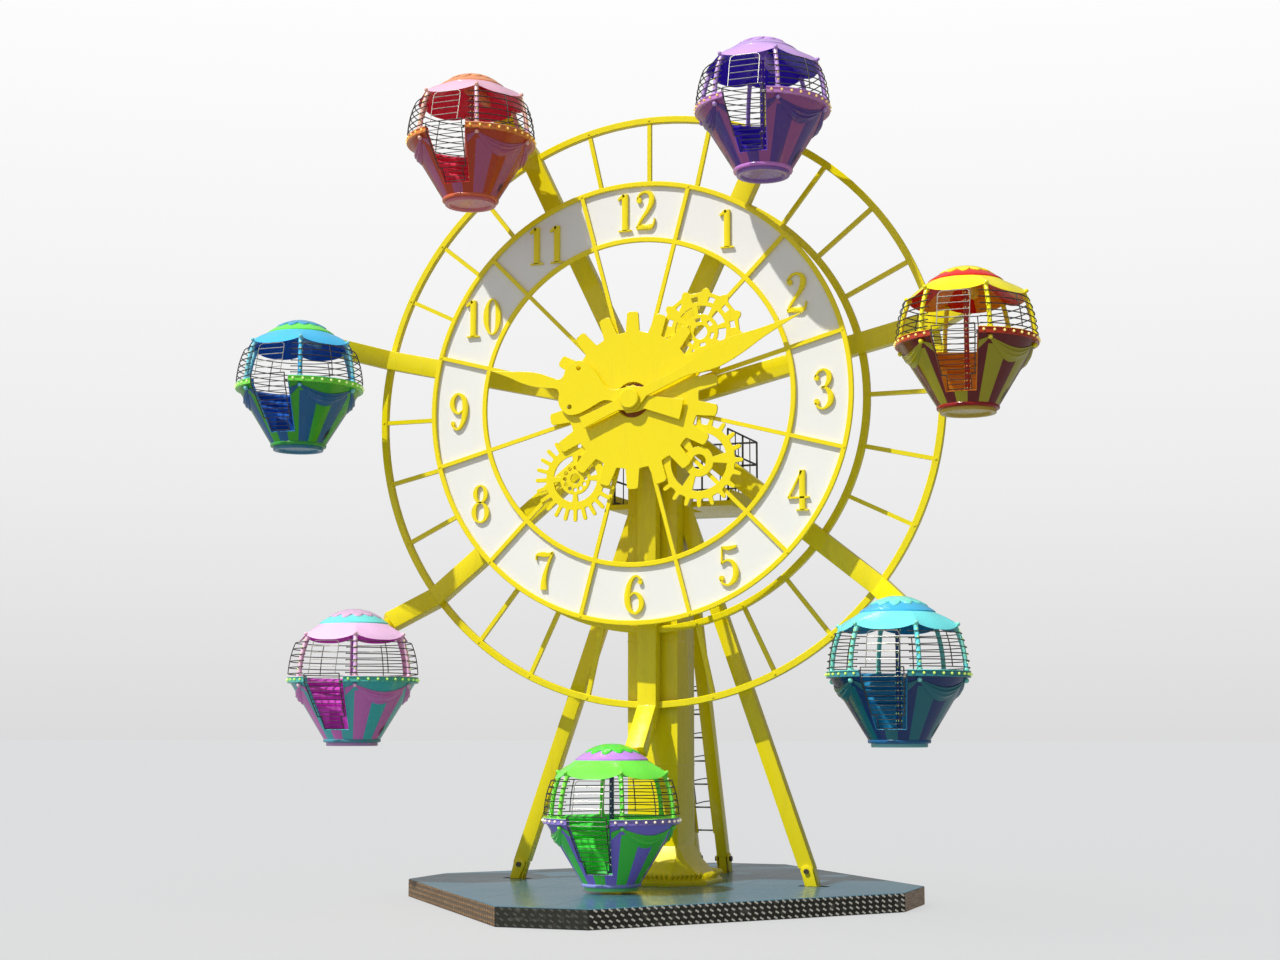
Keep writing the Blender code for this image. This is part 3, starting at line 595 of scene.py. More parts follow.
def deckPiece():
    corners = deckCorners()
    top, ease = deckSettings["top"], 0.012
    slots = [(-2.82, 0.07, 0.27, 0.11), (2.82, 0.07, 0.27, 0.11), (-0.30, 2.89, 0.11, 0.27),
             (0.30, 2.89, 0.11, 0.27)]
    sideRoles = ["dark", "dark", "plank", "dark", "dark", "dark", "plank", "brown"]
    shape = Shape()
    inner = deckCorners(ease)
    levels = [[(x, y, 0.0) for x, y in inner], [(x, y, ease) for x, y in corners],
              [(x, y, top - ease) for x, y in corners], [(x, y, top) for x, y in inner]]
    shape.grid(levels, lambda r, i: sideRoles[i] if r < 2 else "top", loop=False)
    shape.cap([7 - i for i in range(8)], "dark")
    # top sheet with the four foot slots sunk into it
    topCurve = [[(x, y) for x, y in inner]]
    for x, y, hx, hy in slots:
        topCurve.append([(x - hx, y - hy), (x + hx, y - hy), (x + hx, y + hy), (x - hx, y + hy)])
    curve = bpy.data.curves.new("deckTop", "CURVE")
    curve.dimensions, curve.fill_mode = "2D", "BOTH"
    for loop in topCurve:
        line = curve.splines.new("POLY")
        line.points.add(len(loop) - 1)
        for point, (x, y) in zip(line.points, loop):
            point.co = (x, y, 0, 1)
        line.use_cyclic_u = True
    holder = bpy.data.objects.new("deckTop", curve)
    bpy.context.scene.collection.objects.link(holder)
    graph = bpy.context.evaluated_depsgraph_get()
    sheet = bpy.data.meshes.new_from_object(holder.evaluated_get(graph))
    bpy.data.objects.remove(holder)
    sheet.transform(Matrix.Translation((0, 0, top)))
    for x, y, hx, hy in slots:
        well = [[(x + sx * hx, y + sy * hy, z) for sx, sy in ((-1, -1), (1, -1), (1, 1), (-1, 1))]
                for z in (top, top - 0.08)]
        start = shape.grid(well, "dark", loop=False)
        shape.cap([start + 4, start + 5, start + 6, start + 7], "dark")
    shape.points += [tuple(v.co) for v in sheet.vertices]
    first = len(shape.points) - len(sheet.vertices)
    for face in sheet.polygons:
        shape.cap([first + i for i in face.vertices], "top")
    mesh = shape.mesh("deckBody", {"dark": treadDark, "plank": plankTan, "brown": treadBrown,
                                   "top": deckBlue})
    lumps = [mesh]
    size = deckSettings["lozengeSize"]
    for i, finish in ((0, treadGrey), (1, treadWorn), (3, treadWorn), (4, treadGrey), (5, treadWorn),
                      (7, plankTan)):
        a, b = Vector((*corners[i], 0)), Vector((*corners[(i + 1) % 8], 0))
        way = (b - a).normalized()
        out = Vector((way.y, -way.x, 0)) * 0.001
        for k, z in enumerate(deckSettings["rows"]):
            lead = 0.05 + (0.5 * deckSettings["lozengePitch"] if k % 2 else 0.0)
            line = [a + way * lead + out, b - way * 0.05 + out]
            line = [(p.x, p.y, z) for p in line]
            lumps.append(blocks.grow(paths(line), finish, Pitch=deckSettings["lozengePitch"], Size=size,
                                     Tilt=(0.0, math.radians(28), 0.0)))
    piece("deckDetail", welded(lumps, "deckDetail"), "frame", "deck_plate", ["deck"])


deckPiece()
print("deck done")

mastSettings = {"half": 0.47, "middle": 0.07, "ribPitch": 0.085, "ribSize": (0.040, 0.052, 0.25),
                "seamHeights": (2.4, 4.6, 6.9)}


def mastPieces():
    h, y = mastSettings["half"], mastSettings["middle"]

    def octagon(out, z):
        return [(h, y - out, z), (out, y - h, z), (out, y + h, z), (h, y + out, z), (-h, y + out, z),
                (-out, y + h, z), (-out, y - h, z), (-h, y - out, z)]

    ring = octagon(0.905, 0.445)
    extras = []
    for i in range(8):
        a, b = Vector(ring[i]), Vector(ring[(i + 1) % 8])
        way = (b - a).normalized()
        line = [a + way * 0.04, b - way * 0.04]
        extras.append(blocks.grow(paths([tuple(p) for p in line]), yellow, Pitch=mastSettings["ribPitch"],
                                  Size=mastSettings["ribSize"], Tilt=(math.radians(51.0), 0.0, 0.0)))
    for z in mastSettings["seamHeights"]:
        g = h + 0.004
        square = [(-g, y - g, z), (g, y - g, z), (g, y + g, z), (-g, y + g, z)]
        extras.append(rods.grow(paths(square, closed=True), yellow, Radius=0.008, Sides=6))
    soften("mast", 0.014, yellow, "frame_paint", extras)
    for node in ("strut_left", "strut_right", "rear_leg_left", "rear_leg_right"):
        soften(node, 0.012, yellow, "frame_paint")
    soften("platform", 0.006, yellow, "frame_paint")


mastPieces()

footSettings = {"eye": 0.58, "run": 2.34970 / 6.63, "width": 0.112, "pin": 0.045}


def footPieces():
    # clevis cheeks and dark pins where struts and legs meet the deck
    zc, w = footSettings["eye"], footSettings["width"]
    spread = 0.4703 + (6.95 - zc) * footSettings["run"]

    def cheek(high, low):
        arc = [(high + w * math.cos(math.radians(a)), zc + w * math.sin(math.radians(a)))
               for a in range(0, 181, 15)]
        return [(low - w * 0.8, 0.325), (low + w * 0.8, 0.325)] + arc

    meshes = []
    for side in (-1, 1):
        for depth in (-0.139, 0.121):
            outline = cheek(side * spread, side * 2.82)
            meshes.append(plate([outline], 0.07 + depth, 0.07 + depth + 0.018, 0.004, yellow))
        shape = Shape()
        b = footSettings["pin"]
        shape.grid([[(x, y, z) for x, z in circlePoints(r, 20, (side * spread, zc))]
                    for r, y in ((0.001, -0.112), (b, -0.112), (b, 0.252), (0.001, 0.252))], "pin",
                   loop=False)
        meshes.append(shape.mesh("pin", pinSteel))
    back = 0.5403 + (6.95 - zc) * (2.3497 / 6.63)
    for side in (-1, 1):
        for x in (side * 0.30 - 0.12, side * 0.30 + 0.102):
            flat = plate([cheek(-back, -2.89)], x, x + 0.018, 0.004, yellow)
            flat.transform(Matrix.Rotation(-math.pi / 2, 4, "Z"))
            meshes.append(flat)
        shape = Shape()
        shape.grid([[(side * 0.30 + x, back + u, v) for u, v in circlePoints(r, 20, (0, zc))]
                    for r, x in ((0.001, -0.165), (0.05, -0.165), (0.05, 0.165), (0.001, 0.165))], "pin",
                   loop=False)
        meshes.append(shape.mesh("pin", pinSteel))
    piece("footLugs", welded(meshes, "footLugs"), "frame", "frame_paint")


footPieces()
print("mast and feet done")


#ladder and platform railing

ladderSettings = {"half": 0.17, "low": 1.07, "high": 6.72, "pitch": 0.44, "hoopOut": 0.62,
                  "hoopHalf": 0.30, "rung": 0.016, "rail": 0.026}


def legBack(z):
    return 0.5403 + (6.95 - z) * (2.3497 / 6.63)


def ladderPiece():
    s = ladderSettings
    meshes = [rods.grow(paths(*[[(side * s["half"], legBack(s["low"]), s["low"]),
                                 (side * s["half"], legBack(s["high"]), s["high"])] for side in (-1, 1)]),
                        yellow, Radius=s["rail"], Sides=10)]
    rungs, hoops, backs = [], [], {-60: [], 0: [], 60: []}
    z = s["low"] + 0.05
    while z < s["high"] - 0.03:
        y = legBack(z)
        rungs.append([(-s["half"], y, z), (s["half"], y, z)])
        if z > 1.5:
            hoop = []
            for i in range(17):
                a = math.radians(-90 + 180 * i / 16)
                hoop.append((s["hoopHalf"] * math.sin(a), y + 0.05 + s["hoopOut"] * math.cos(a),
                             z + 0.10 * math.cos(a)))
            hoops.append(hoop)
            for angle, line in backs.items():
                a = math.radians(angle)
                line.append((s["hoopHalf"] * math.sin(a), y + 0.05 + s["hoopOut"] * math.cos(a),
                             z + 0.10 * math.cos(a)))
        z += s["pitch"]
    meshes.append(rods.grow(paths(*rungs), darkSteel, Radius=s["rung"], Sides=8))
    meshes.append(rods.grow(paths(*hoops, *backs.values()), darkSteel, Radius=0.011, Sides=6))
    lugs = []
    for side in (-1, 1):
        for z in (s["low"] + 0.6, (s["low"] + s["high"]) / 2, s["high"] - 0.5):
            lugs.append([(side * s["half"], legBack(z), z), (side * 0.205, legBack(z), z)])
    meshes.append(rods.grow(paths(*lugs), yellow, Radius=0.028, Sides=8))
    piece("ladderRods", welded(meshes, "ladderRods"), "frame", "dark_steel", ["ladder"])


def railingPiece():
    x, y0, y1 = 1.12, 0.6203, 2.47
    z0, z1 = 7.2203, 8.56
    lines = []
    for z in (z0 + 0.05, z0 + 0.46, z0 + 0.90, z1):
        lines.append([(-x, y0, z), (-x, y1, z), (x, y1, z), (x, y0, z)])
    thin = []
    for side in (-x, x):
        for i in range(5):
            y = y0 + (y1 - y0) * i / 4
            (lines if i % 2 == 0 else thin).append([(side, y, z0), (side, y, z1)])
    for i in range(1, 6):
        px = -x + 2 * x * i / 6
        (lines if i == 3 else thin).append([(px, y1, z0), (px, y1, z1)])
    meshes = [rods.grow(paths(*lines), darkSteel, Radius=0.02, Sides=8),
              rods.grow(paths(*thin), darkSteel, Radius=0.011, Sides=6)]
    feet = [(side, y0 + (y1 - y0) * i / 4, z0 + 0.012) for side in (-x, x) for i in (0, 2, 4)]
    meshes.append(balls.grow(spots(feet + [(0, y1, z0 + 0.012)]), darkSteel, Radius=0.036, Segments=8,
                             Rings=5))
    piece("railingGrid", welded(meshes, "railingGrid"), "frame", "dark_steel", ["platform_railing"])


ladderPiece()
railingPiece()
print("ladder and railing done")


#wheel

wheelSettings = {"front": -0.58, "back": -0.4625, "rims": ((5.316, 5.44), (3.975, 4.10)), "bar": 0.075,
                 "perSpan": 4, "arms": 7}


def wheelPieces():
    s = wheelSettings
    meshes = [hoopY(inner, outer, s["front"], s["back"], 0.012, yellow) for inner, outer in s["rims"]]
    pitch = 2 * math.pi / (s["arms"] * s["perSpan"])
    for k in (1, 2, 3):
        meshes.append(spokes.grow(spots([(0, 0, 0)]), yellow, Count=s["arms"], Inner=4.03, Outer=5.37,
                                  Width=s["bar"], Depth=s["bar"], Middle=-0.5225,
                                  First=math.pi + pitch * k, Step=pitch * s["perSpan"]))
    heads = []
    for k in range(28):
        if k % 4:
            a = math.pi + pitch * k
            heads += [(r * math.sin(a), s["front"] - 0.002, hubZ + r * math.cos(a)) for r in (4.04, 5.38)]
    meshes.append(bolts.grow(spots(heads), yellow, Radius=0.018))
    piece("wheelRims", welded(meshes, "wheelRims"), "wheel", "frame_paint",
          ["rim_sector_%d" % (k + 1) for k in range(7)])
    hub = [(0.52 * math.sin(a), -0.752, hubZ + 0.52 * math.cos(a))
           for a in [2 * math.pi * (i + 0.5) / 14 for i in range(14)]]
    flange = hoopY(0.28, 0.44, -0.79, -0.745, 0.01, yellow, 60)
    extras = [bolts.grow(spots(hub), boltSteel, Radius=0.028), flange]
    soften("arm_spider", 0.012, yellow, "frame_paint", extras)


wheelPieces()
print("wheel done")


#clock dial

dialSettings = {"rim": (3.91, 4.0), "inner": (2.885, 2.975), "front": -1.35, "back": -1.29, "bar": 0.07,
                "numeralRadius": 3.46, "numeralHeight": 0.72, "numeralFront": -1.345}

digits = {
    "0": [("ring", 0, 0, 0.17, 0.455, 0.14, 0.045)],
    "1": [("line", (0.02, -0.48, 0.15), (0.02, 0.46, 0.15)), ("line", (0.0, 0.44, 0.1), (-0.17, 0.33, 0.05)),
          ("line", (-0.15, -0.48, 0.04), (0.19, -0.48, 0.04))],
    "2": [("ball", -0.16, 0.27, 0.07), ("line", (-0.21, 0.3, 0.05), (-0.13, 0.43, 0.05),
          (0.01, 0.475, 0.055), (0.15, 0.40, 0.12), (0.17, 0.22, 0.14), (0.08, 0.02, 0.10),
          (-0.10, -0.22, 0.06), (-0.22, -0.43, 0.05)),
          ("line", (-0.23, -0.45, 0.06), (-0.06, -0.42, 0.13), (0.12, -0.43, 0.13), (0.22, -0.36, 0.05),
           (0.25, -0.22, 0.03))],
    "3": [("ball", -0.16, 0.28, 0.065), ("line", (-0.19, 0.31, 0.05), (-0.11, 0.43, 0.05),
          (0.02, 0.475, 0.06), (0.14, 0.38, 0.12), (0.14, 0.20, 0.12), (0.05, 0.07, 0.06),
          (-0.06, 0.04, 0.04)), ("line", (-0.03, 0.05, 0.04), (0.09, 0.01, 0.08), (0.18, -0.14, 0.14),
          (0.17, -0.32, 0.13), (0.04, -0.455, 0.06), (-0.10, -0.45, 0.05), (-0.19, -0.34, 0.05)),
          ("ball", -0.16, -0.30, 0.07)],
    "4": [("line", (0.10, -0.48, 0.14), (0.10, 0.48, 0.14)), ("line", (0.09, 0.46, 0.05),
          (-0.24, -0.17, 0.05)), ("line", (-0.26, -0.18, 0.05), (0.27, -0.18, 0.05)),
          ("line", (-0.05, -0.48, 0.04), (0.25, -0.48, 0.04))],
    "5": [("line", (-0.16, 0.45, 0.05), (0.0, 0.42, 0.11), (0.21, 0.47, 0.06)),
          ("line", (-0.16, 0.46, 0.04), (-0.17, 0.04, 0.04)), ("line", (-0.17, 0.05, 0.04),
          (-0.05, 0.13, 0.05), (0.10, 0.09, 0.09), (0.19, -0.10, 0.14), (0.16, -0.32, 0.13),
          (0.02, -0.455, 0.06), (-0.12, -0.44, 0.05), (-0.20, -0.34, 0.05)),
          ("ball", -0.17, -0.30, 0.065)],
    "6": [("ball", 0.15, 0.31, 0.06), ("line", (0.17, 0.36, 0.05), (0.06, 0.46, 0.05),
          (-0.06, 0.40, 0.08), (-0.16, 0.18, 0.13), (-0.19, -0.10, 0.15), (-0.14, -0.34, 0.12),
          (0.0, -0.455, 0.06), (0.13, -0.37, 0.10), (0.18, -0.2, 0.13), (0.13, -0.04, 0.10),
          (0.0, 0.05, 0.05), (-0.13, -0.03, 0.04))],
    "7": [("line", (-0.21, 0.28, 0.03), (-0.20, 0.41, 0.05), (-0.04, 0.42, 0.13), (0.12, 0.41, 0.10),
          (0.24, 0.47, 0.05)), ("line", (0.23, 0.46, 0.05), (0.08, 0.1, 0.08), (0.0, -0.2, 0.13),
          (-0.01, -0.46, 0.17))],
    "8": [("ring", 0, 0.25, 0.145, 0.215, 0.11, 0.05), ("ring", 0, -0.22, 0.18, 0.25, 0.12, 0.05)],
}


def smoothLine(knots, steps=6):
    # curve through knots of place and width
    if len(knots) == 2:
        return [knots[0], knots[1]]
    ends = [knots[0]] + list(knots) + [knots[-1]]
    out = []
    for i in range(1, len(ends) - 2):
        for k in range(steps):
            t = k / steps
            out.append(tuple(0.5 * (2 * b + (c - a) * t + (2 * a - 5 * b + 4 * c - d) * t * t
                                    + (3 * b - a - 3 * c + d) * t ** 3)
                             for a, b, c, d in zip(*ends[i - 1:i + 3])))
    return out + [tuple(knots[-1])]


def stroke(shape, knots, place, front, back):
    # ribbon of changing width as a closed slab
    line = smoothLine(knots)
    left, right = [], []
    for i, (x, z, w) in enumerate(line):
        a, b = line[max(i - 1, 0)], line[min(i + 1, len(line) - 1)]
        dx, dz = b[0] - a[0], b[1] - a[1]
        size = math.hypot(dx, dz) or 1.0
        nx, nz = -dz / size * w / 2, dx / size * w / 2
        left.append((x + nx, z + nz))
        right.append((x - nx, z - nz))
    ease = 0.006
    rows = []
    for (lx, lz), (rx, rz) in zip(left, right):
        (ax, az), (bx, bz) = place(lx, lz), place(rx, rz)
        mx, mz = (bx - ax) * 0.08, (bz - az) * 0.08
        rows.append([(ax, back, az), (ax, front + ease, az), (ax + mx, front, az + mz),
                     (bx - mx, front, bz - mz), (bx, front + ease, bz), (bx, back, bz)])
    start = shape.grid(rows, "all", closed=True, loop=False)
    count = len(rows)
    shape.cap([start + i for i in range(6)], "all")
    shape.cap([start + (count - 1) * 6 + i for i in range(6)], "all")


def numeral(shape, text, cx, cz):
    high = dialSettings["numeralHeight"]
    front, back = dialSettings["numeralFront"], dialSettings["back"] + 0.002
    for k, letter in enumerate(text):
        ox = cx + (k - (len(text) - 1) / 2) * 0.40
        flip = -1 if letter == "9" else 1

        def place(x, z):
            return ox + flip * x * high, cz + flip * z * high

        for part in digits["6" if letter == "9" else letter]:
            if part[0] == "line":
                stroke(shape, part[1:], place, front, back)
            elif part[0] == "ball":
                _, x, z, r = part
                knots = [(x, z + r, 0.01), (x, z + r * 0.8, r * 1.3), (x, z, r * 2), (x, z - r * 0.8, r * 1.3),
                         (x, z - r, 0.01)]
                stroke(shape, knots, place, front, back)
            else:
                _, x, z, rx, rz, thick, thin = part
                inner, outer = [], []
                for i in range(32):
                    a = 2 * math.pi * i / 32
                    w = thin + (thick - thin) * math.sin(a) ** 2
                    for r, line in ((-w / 2, inner), (w / 2, outer)):
                        line.append(place(x + (rx + r) * math.sin(a), z + (rz + r * 0.8) * math.cos(a)))
                rows = [[(px, y, pz) for px, pz in line] for line, y in
                        ((inner, back), (inner, front), (outer, front), (outer, back))]
                shape.grid(rows, "all")


def dialPieces():
    s = dialSettings
    meshes = [hoopY(*s["rim"], s["front"], s["back"], 0.010, yellowPlain),
              hoopY(*s["inner"], s["front"] + 0.001, s["back"], 0.010, yellowPlain),
              hoopY(0.001, 0.42, s["front"] + 0.001, s["back"], 0.006, yellowPlain, 48),
              spokes.grow(spots([(0, 0, 0)]), yellowPlain, Count=12, Inner=0.2, Outer=3.95, Width=s["bar"],
                          Depth=0.056, Middle=-1.3195, First=math.radians(15), Step=math.radians(30))]
    heads = [(3.955 * math.sin(a), s["front"] - 0.001, hubZ + 3.955 * math.cos(a))
             for a in [math.radians(30 * k + 15) for k in range(12)]]
    meshes.append(bolts.grow(spots(heads), yellowPlain, Radius=0.016))
    piece("dialHoops", welded(meshes, "dialHoops"), "frame", "frame_paint", ["dial_frame"])
    ring = hoopY(2.90, 3.99, -1.2897, -1.27, 0.003, dialWhite)
    piece("dialEnamelRing", ring, "frame", "dial_white", ["dial_plate"])
    shape = Shape()
    for k in range(1, 13):
        a = math.radians(30 * k)
        numeral(shape, str(k), s["numeralRadius"] * math.sin(a), hubZ + s["numeralRadius"] * math.cos(a))
    piece("dialNumerals", shape.mesh("dialNumerals", yellowPlain), "frame", "frame_paint")
    cup = [hoopY(0.001, 0.31, -1.3535, -1.3512, 0.0005, recess, 40)]
    for angle in (0, 90, 38):
        bar = hoopY(0.001, 0.02, -1.36, -1.355, 0.001, recess, 8)
        bar.transform(Matrix.Translation((0, 0, -hubZ)))
        bar.transform(Matrix.Diagonal((1.6, 1, 14, 1)))
        bar.transform(Matrix.Translation((0, 0, hubZ)))
        cup.append(turned(bar, angle))
    piece("hubRecess", welded(cup, "hubRecess"), "frame", "frame_paint")


dialPieces()
print("dial done")

gearSettings = {
    "gear_main": {"centre": (0, 0), "tip": 1.60, "root": 1.235, "teeth": 18, "top": 0.36, "foot": 0.6,
                  "phase": 0, "bore": 0.32, "front": -1.44, "back": -1.3923, "windows": []},
    "gear_upper_right": {"centre": (1.26, 1.14), "tip": 0.80, "root": 0.715, "teeth": 12, "top": 0.26,
                         "foot": 0.46, "phase": 8, "bore": 0.125, "front": -1.392, "back": -1.3503,
                         "windows": [(6, 26, 0.195, 0.255, 49), (8, 32, 0.33, 0.475, 10),
                                     (12, 11, 0.555, 0.645, 20)]},
    "gear_lower_right": {"centre": (1.22, -1.16), "tip": 0.81, "root": 0.66, "teeth": 20, "top": 0.26,
                         "foot": 0.42, "phase": 0, "bore": 0.13, "front": -1.392, "back": -1.3503,
                         "windows": [(3, 98, 0.27, 0.52, 25)]},
    "gear_lower_left": {"centre": (-1.11, -1.36), "tip": 0.77, "root": 0.56, "teeth": 24, "top": 0.34,
                        "foot": 0.5, "phase": 0, "bore": 0.09, "front": -1.392, "back": -1.3503,
                        "windows": [(4, 74, 0.29, 0.42, 45)], "holes": (12, 0.20, 0.037)},
}


def gearPieces():
    for node, g in gearSettings.items():
        centre = (g["centre"][0], hubZ + g["centre"][1])
        pitch, outline = 360.0 / g["teeth"], []
        for i in range(g["teeth"]):
            a = g["phase"] + pitch * i
            edge = [(g["root"] + 0.01, -g["foot"] / 2), (g["tip"] - 0.025, -g["top"] / 2 - 0.01),
                    (g["tip"], -g["top"] / 2 + 0.08), (g["tip"], g["top"] / 2 - 0.08),
                    (g["tip"] - 0.025, g["top"] / 2 + 0.01), (g["root"] + 0.01, g["foot"] / 2),
                    (g["root"], 0.42), (g["root"], 0.58)]
            for radius, share in edge:
                b = math.radians(a + pitch * share)
                outline.append((centre[0] + radius * math.sin(b), centre[1] + radius * math.cos(b)))
        loops = [outline, circlePoints(g["bore"], 40, centre)]
        for count, wide, low, high, first in g["windows"]:
            for k in range(count):
                a = first + 360.0 * k / count - wide / 2
                loop = circlePoints(high, 8, centre, a, wide)
                loops.append(loop + circlePoints(low, 8, centre, a, wide)[::-1])
        if "holes" in g:
            count, out, r = g["holes"]
            for k in range(count):
                b = 2 * math.pi * k / count
                hole = (centre[0] + out * math.sin(b), centre[1] + out * math.cos(b))
                loops.append(circlePoints(r, 14, hole))
        mesh = plate(loops, g["front"], g["back"], 0.005, yellowPlain)
        piece(node + "Plate", mesh, "frame", "frame_paint", [node])


gearPieces()

handSettings = {
    "hour_hand": {"angle": 284.0, "front": -1.525, "back": -1.495, "holes": [(0.36, 1.12, 0.045),
                  (-0.36, 1.12, 0.045)],
                  "half": [(0.05, 2.45), (0.10, 2.2), (0.13, 1.9), (0.10, 1.6), (0.09, 1.45), (0.16, 1.38),
                           (0.30, 1.36), (0.42, 1.28), (0.50, 1.12), (0.46, 0.95), (0.36, 0.80),
                           (0.24, 0.66), (0.13, 0.52), (0.10, 0.35), (0.12, -0.3), (0.185, -0.98)],
                  "tip": 2.82, "collar": 0.26},
    "minute_hand": {"angle": 67.3, "front": -1.575, "back": -1.545, "holes": [],
                    "half": [(0.08, 2.7), (0.17, 2.2), (0.21, 1.75), (0.16, 1.4), (0.09, 1.1),
                             (0.09, 0.3), (0.10, -0.75), (0.11, -1.0)], "tip": 3.47, "collar": 0.24},
}


def handPieces():
    for node, h in handSettings.items():
        right = [(0.0, h["tip"])] + h["half"]
        knots = [(x, z, 0.0) for x, z in right]
        line = [(x, z) for x, z, _ in smoothLine(knots[:-1], 4)] + [right[-1]]
        outline = []
        for x, z in line:
            if abs(z) < h["collar"]:
                x = max(x, math.sqrt(h["collar"] ** 2 - z * z))
            outline.append((x, hubZ + z))
        outline += [(-x, z) for x, z in reversed(outline) if x > 1e-6]
        loops = [outline, circlePoints(0.149, 32, (0, hubZ))]
        for x, z, r in h["holes"]:
            loops.append(circlePoints(r, 14, (x, hubZ + z)))
        mesh = turned(plate(loops, h["front"], h["back"], 0.004, yellowPlain), h["angle"])
        piece(node + "Plate", mesh, node, "frame_paint", [node])
    meshes = []
    shape = Shape()
    profile = [(0.001, -1.64), (0.165, -1.64), (0.18, -1.628), (0.18, -1.605), (0.14, -1.60),
               (0.14, -1.482), (0.175, -1.48), (0.18, -1.472), (0.18, -1.447), (0.14, -1.445),
               (0.14, -1.352), (0.001, -1.352)]
    shape.grid([[(x, y, z) for x, z in circlePoints(r, 48, (0, hubZ))] for r, y in profile], "all",
               loop=False)
    meshes.append(shape.mesh("arbor", yellowPlain))
    piece("handArbor", welded(meshes, "handArbor"), "frame", "frame_paint", ["hand_arbor"])


handPieces()
print("gears and hands done")


#cabins

cabinSettings = {"foot": 0.455, "coneLow": (0.50, 0.12), "rise": 0.61, "sill": 0.28, "bandZ": 0.96,
                 "rimZ": 1.105, "beltTop": 1.212, "beltR": 1.16, "wallInner": (0.56, 0.588),
                 "bulbPitch": 0.175, "bulb": 0.022, "postBulb": 0.015, "postR": 0.039, "hoops": 6}
cabinPivots = {"green": (0.0, 2.52), "pink": (-4.9412, 4.8995), "sky": (-6.1615, 10.2463),
               "red": (-2.7421, 14.5341), "violet": (2.7421, 14.5341), "yellow": (6.1615, 10.2463),
               # Paint tones per cabin. The tub stripes (stripeA, stripeB) are toned part way from each paint's own
               # colour towards its look in the shade under the belt: partly painted shade.
               "blue": (4.9412, 4.8995)}
# The inside tones are lightened beyond the paints' own colours: painted light standing in for light reaching into
# the tubs, seats and canopy undersides.
cabinColours = {
    "green": {"stripeA": "#58e84c", "stripeB": "#9a80ea", "skirt": "#74f04c", "cap": "#56dc46",
              "roofBand": "#c48cf0", "belt": "#8a7ac8", "bulb": "#fff2c8", "ring": "#8f98dc",
              "disc": "#74e488", "post": "#86f050", "pole": "#4a4a90", "inside": "#54f058",
              "trim": "#8a6fe0", "under": "inside"},
    # Yellow cabin: stripeA, stripeB, ring and disc are darkened olive and maroon copies of the canopy's yellow and
    # red, painted shade on the tub and foot.
    "yellow": {"stripeA": "#a8a010", "stripeB": "#6a0a0c", "skirt": "#fbee10", "cap": "#f4e820",
               "roofBand": "#dc1812", "belt": "#b83a20", "bulb": "#ffe860", "ring": "#960c0e",
               "disc": "#c8ac40", "post": "#fbee1a", "pole": "#b8363c", "inside": "#f0a02c",
               "trim": "#d87a18", "under": "roofBand"},
    "blue": {"stripeA": "#126e7c", "stripeB": "#0e3470", "skirt": "#74ecf2", "cap": "#7ce6da",
             "roofBand": "#42b6e6", "belt": "#3a90a0", "bulb": "#c8f02a", "ring": "#0e5c90",
             "disc": "#74bcc2", "post": "#88e8d6", "pole": "#24508a", "inside": "#2c94c4",
             "trim": "#2a8ab8", "under": "inside"},
    "violet": {"stripeA": "#533690", "stripeB": "#9a5092", "skirt": "#cfa4ee", "cap": "#cca0ea",
               "roofBand": "#bfa2de", "belt": "#c88ad0", "bulb": "#f0d040", "ring": "#c87ed4",
               "disc": "#8a66b8", "post": "#c4a0e4", "pole": "#6a3ac8", "inside": "#5636dc",
               "trim": "#9a6ad8", "under": "inside"},
    "red": {"stripeA": "#b0567e", "stripeB": "#b83c10", "skirt": "#eebad4", "cap": "#e8a070",
            "roofBand": "#ea9868", "belt": "#e48a44", "bulb": "#ffe040", "ring": "#da6640",
            "disc": "#d47888", "post": "#f8c4b4", "pole": "#ae3a54", "inside": "#f04464",
            "trim": "#e04a30", "under": "inside"},
    "pink": {"stripeA": "#d674ca", "stripeB": "#4cbcc2", "skirt": "#f0c4f2", "cap": "#d8b4d6",
             "roofBand": "#74e4e4", "belt": "#56b8b0", "bulb": "#b8f040", "ring": "#4a94a8",
             "disc": "#c494d0", "post": "#f6c8e2", "pole": "#9a5ac8", "inside": "#e45cdc",
             "trim": "#40c8c8", "under": "inside"},
    "sky": {"stripeA": "#14609a", "stripeB": "#3aaa24", "skirt": "#46c0f6", "cap": "#4aa8d4",
            "roofBand": "#70e856", "belt": "#80e850", "bulb": "#e8f0a0", "ring": "#309e40",
            "disc": "#3c84a8", "post": "#84d8ea", "pole": "#2a4a80", "inside": "#2a6cd0",
            "trim": "#3f9ae0", "under": "inside"},
}


def about(angle, radius, z):
    a = math.radians(angle)
    return (radius * math.sin(a), -radius * math.cos(a), z)


def coneR(z):
    low, base = cabinSettings["coneLow"]
    return low + cabinSettings["rise"] * (z - base)


def wallR(z):
    low, rise = cabinSettings["wallInner"]
    return low + rise * (z - cabinSettings["sill"])


def doorHalf(z):
    return 0.238 + (z - 0.27) * 0.160


def spin(shape, profile, role, count=72):
    # full turn of an open profile that starts and ends on the axis, or of a closed one
    onAxis = profile[0][0] < 1e-6
    rows = [[about(360.0 * i / count, r, z) for i in range(count)] for r, z in profile]
    shape.grid(rows, role, loop=not onAxis)


def openTurn(shape, profile, role, jamb):
    # closed profile turned round from one door jamb to the other
    columns = [None] + list(range(30, 331, 5)) + [None]
    rows = []
    for r, z in profile:
        edge = math.degrees(math.asin(min(0.99, doorHalf(z) / r)))
        angles = [edge] + columns[1:-1] + [360 - edge]
        rows.append([about(a, r, z) for a in angles])
    start = shape.grid(rows, role, closed=False)
    count = len(columns)
    shape.cap([start + k * count for k in range(len(rows))], jamb)
    shape.cap([start + k * count + count - 1 for k in range(len(rows))], jamb)


def stripe(angle):
    return "stripeA" if round(angle / 20.0) % 2 == 0 else "stripeB"


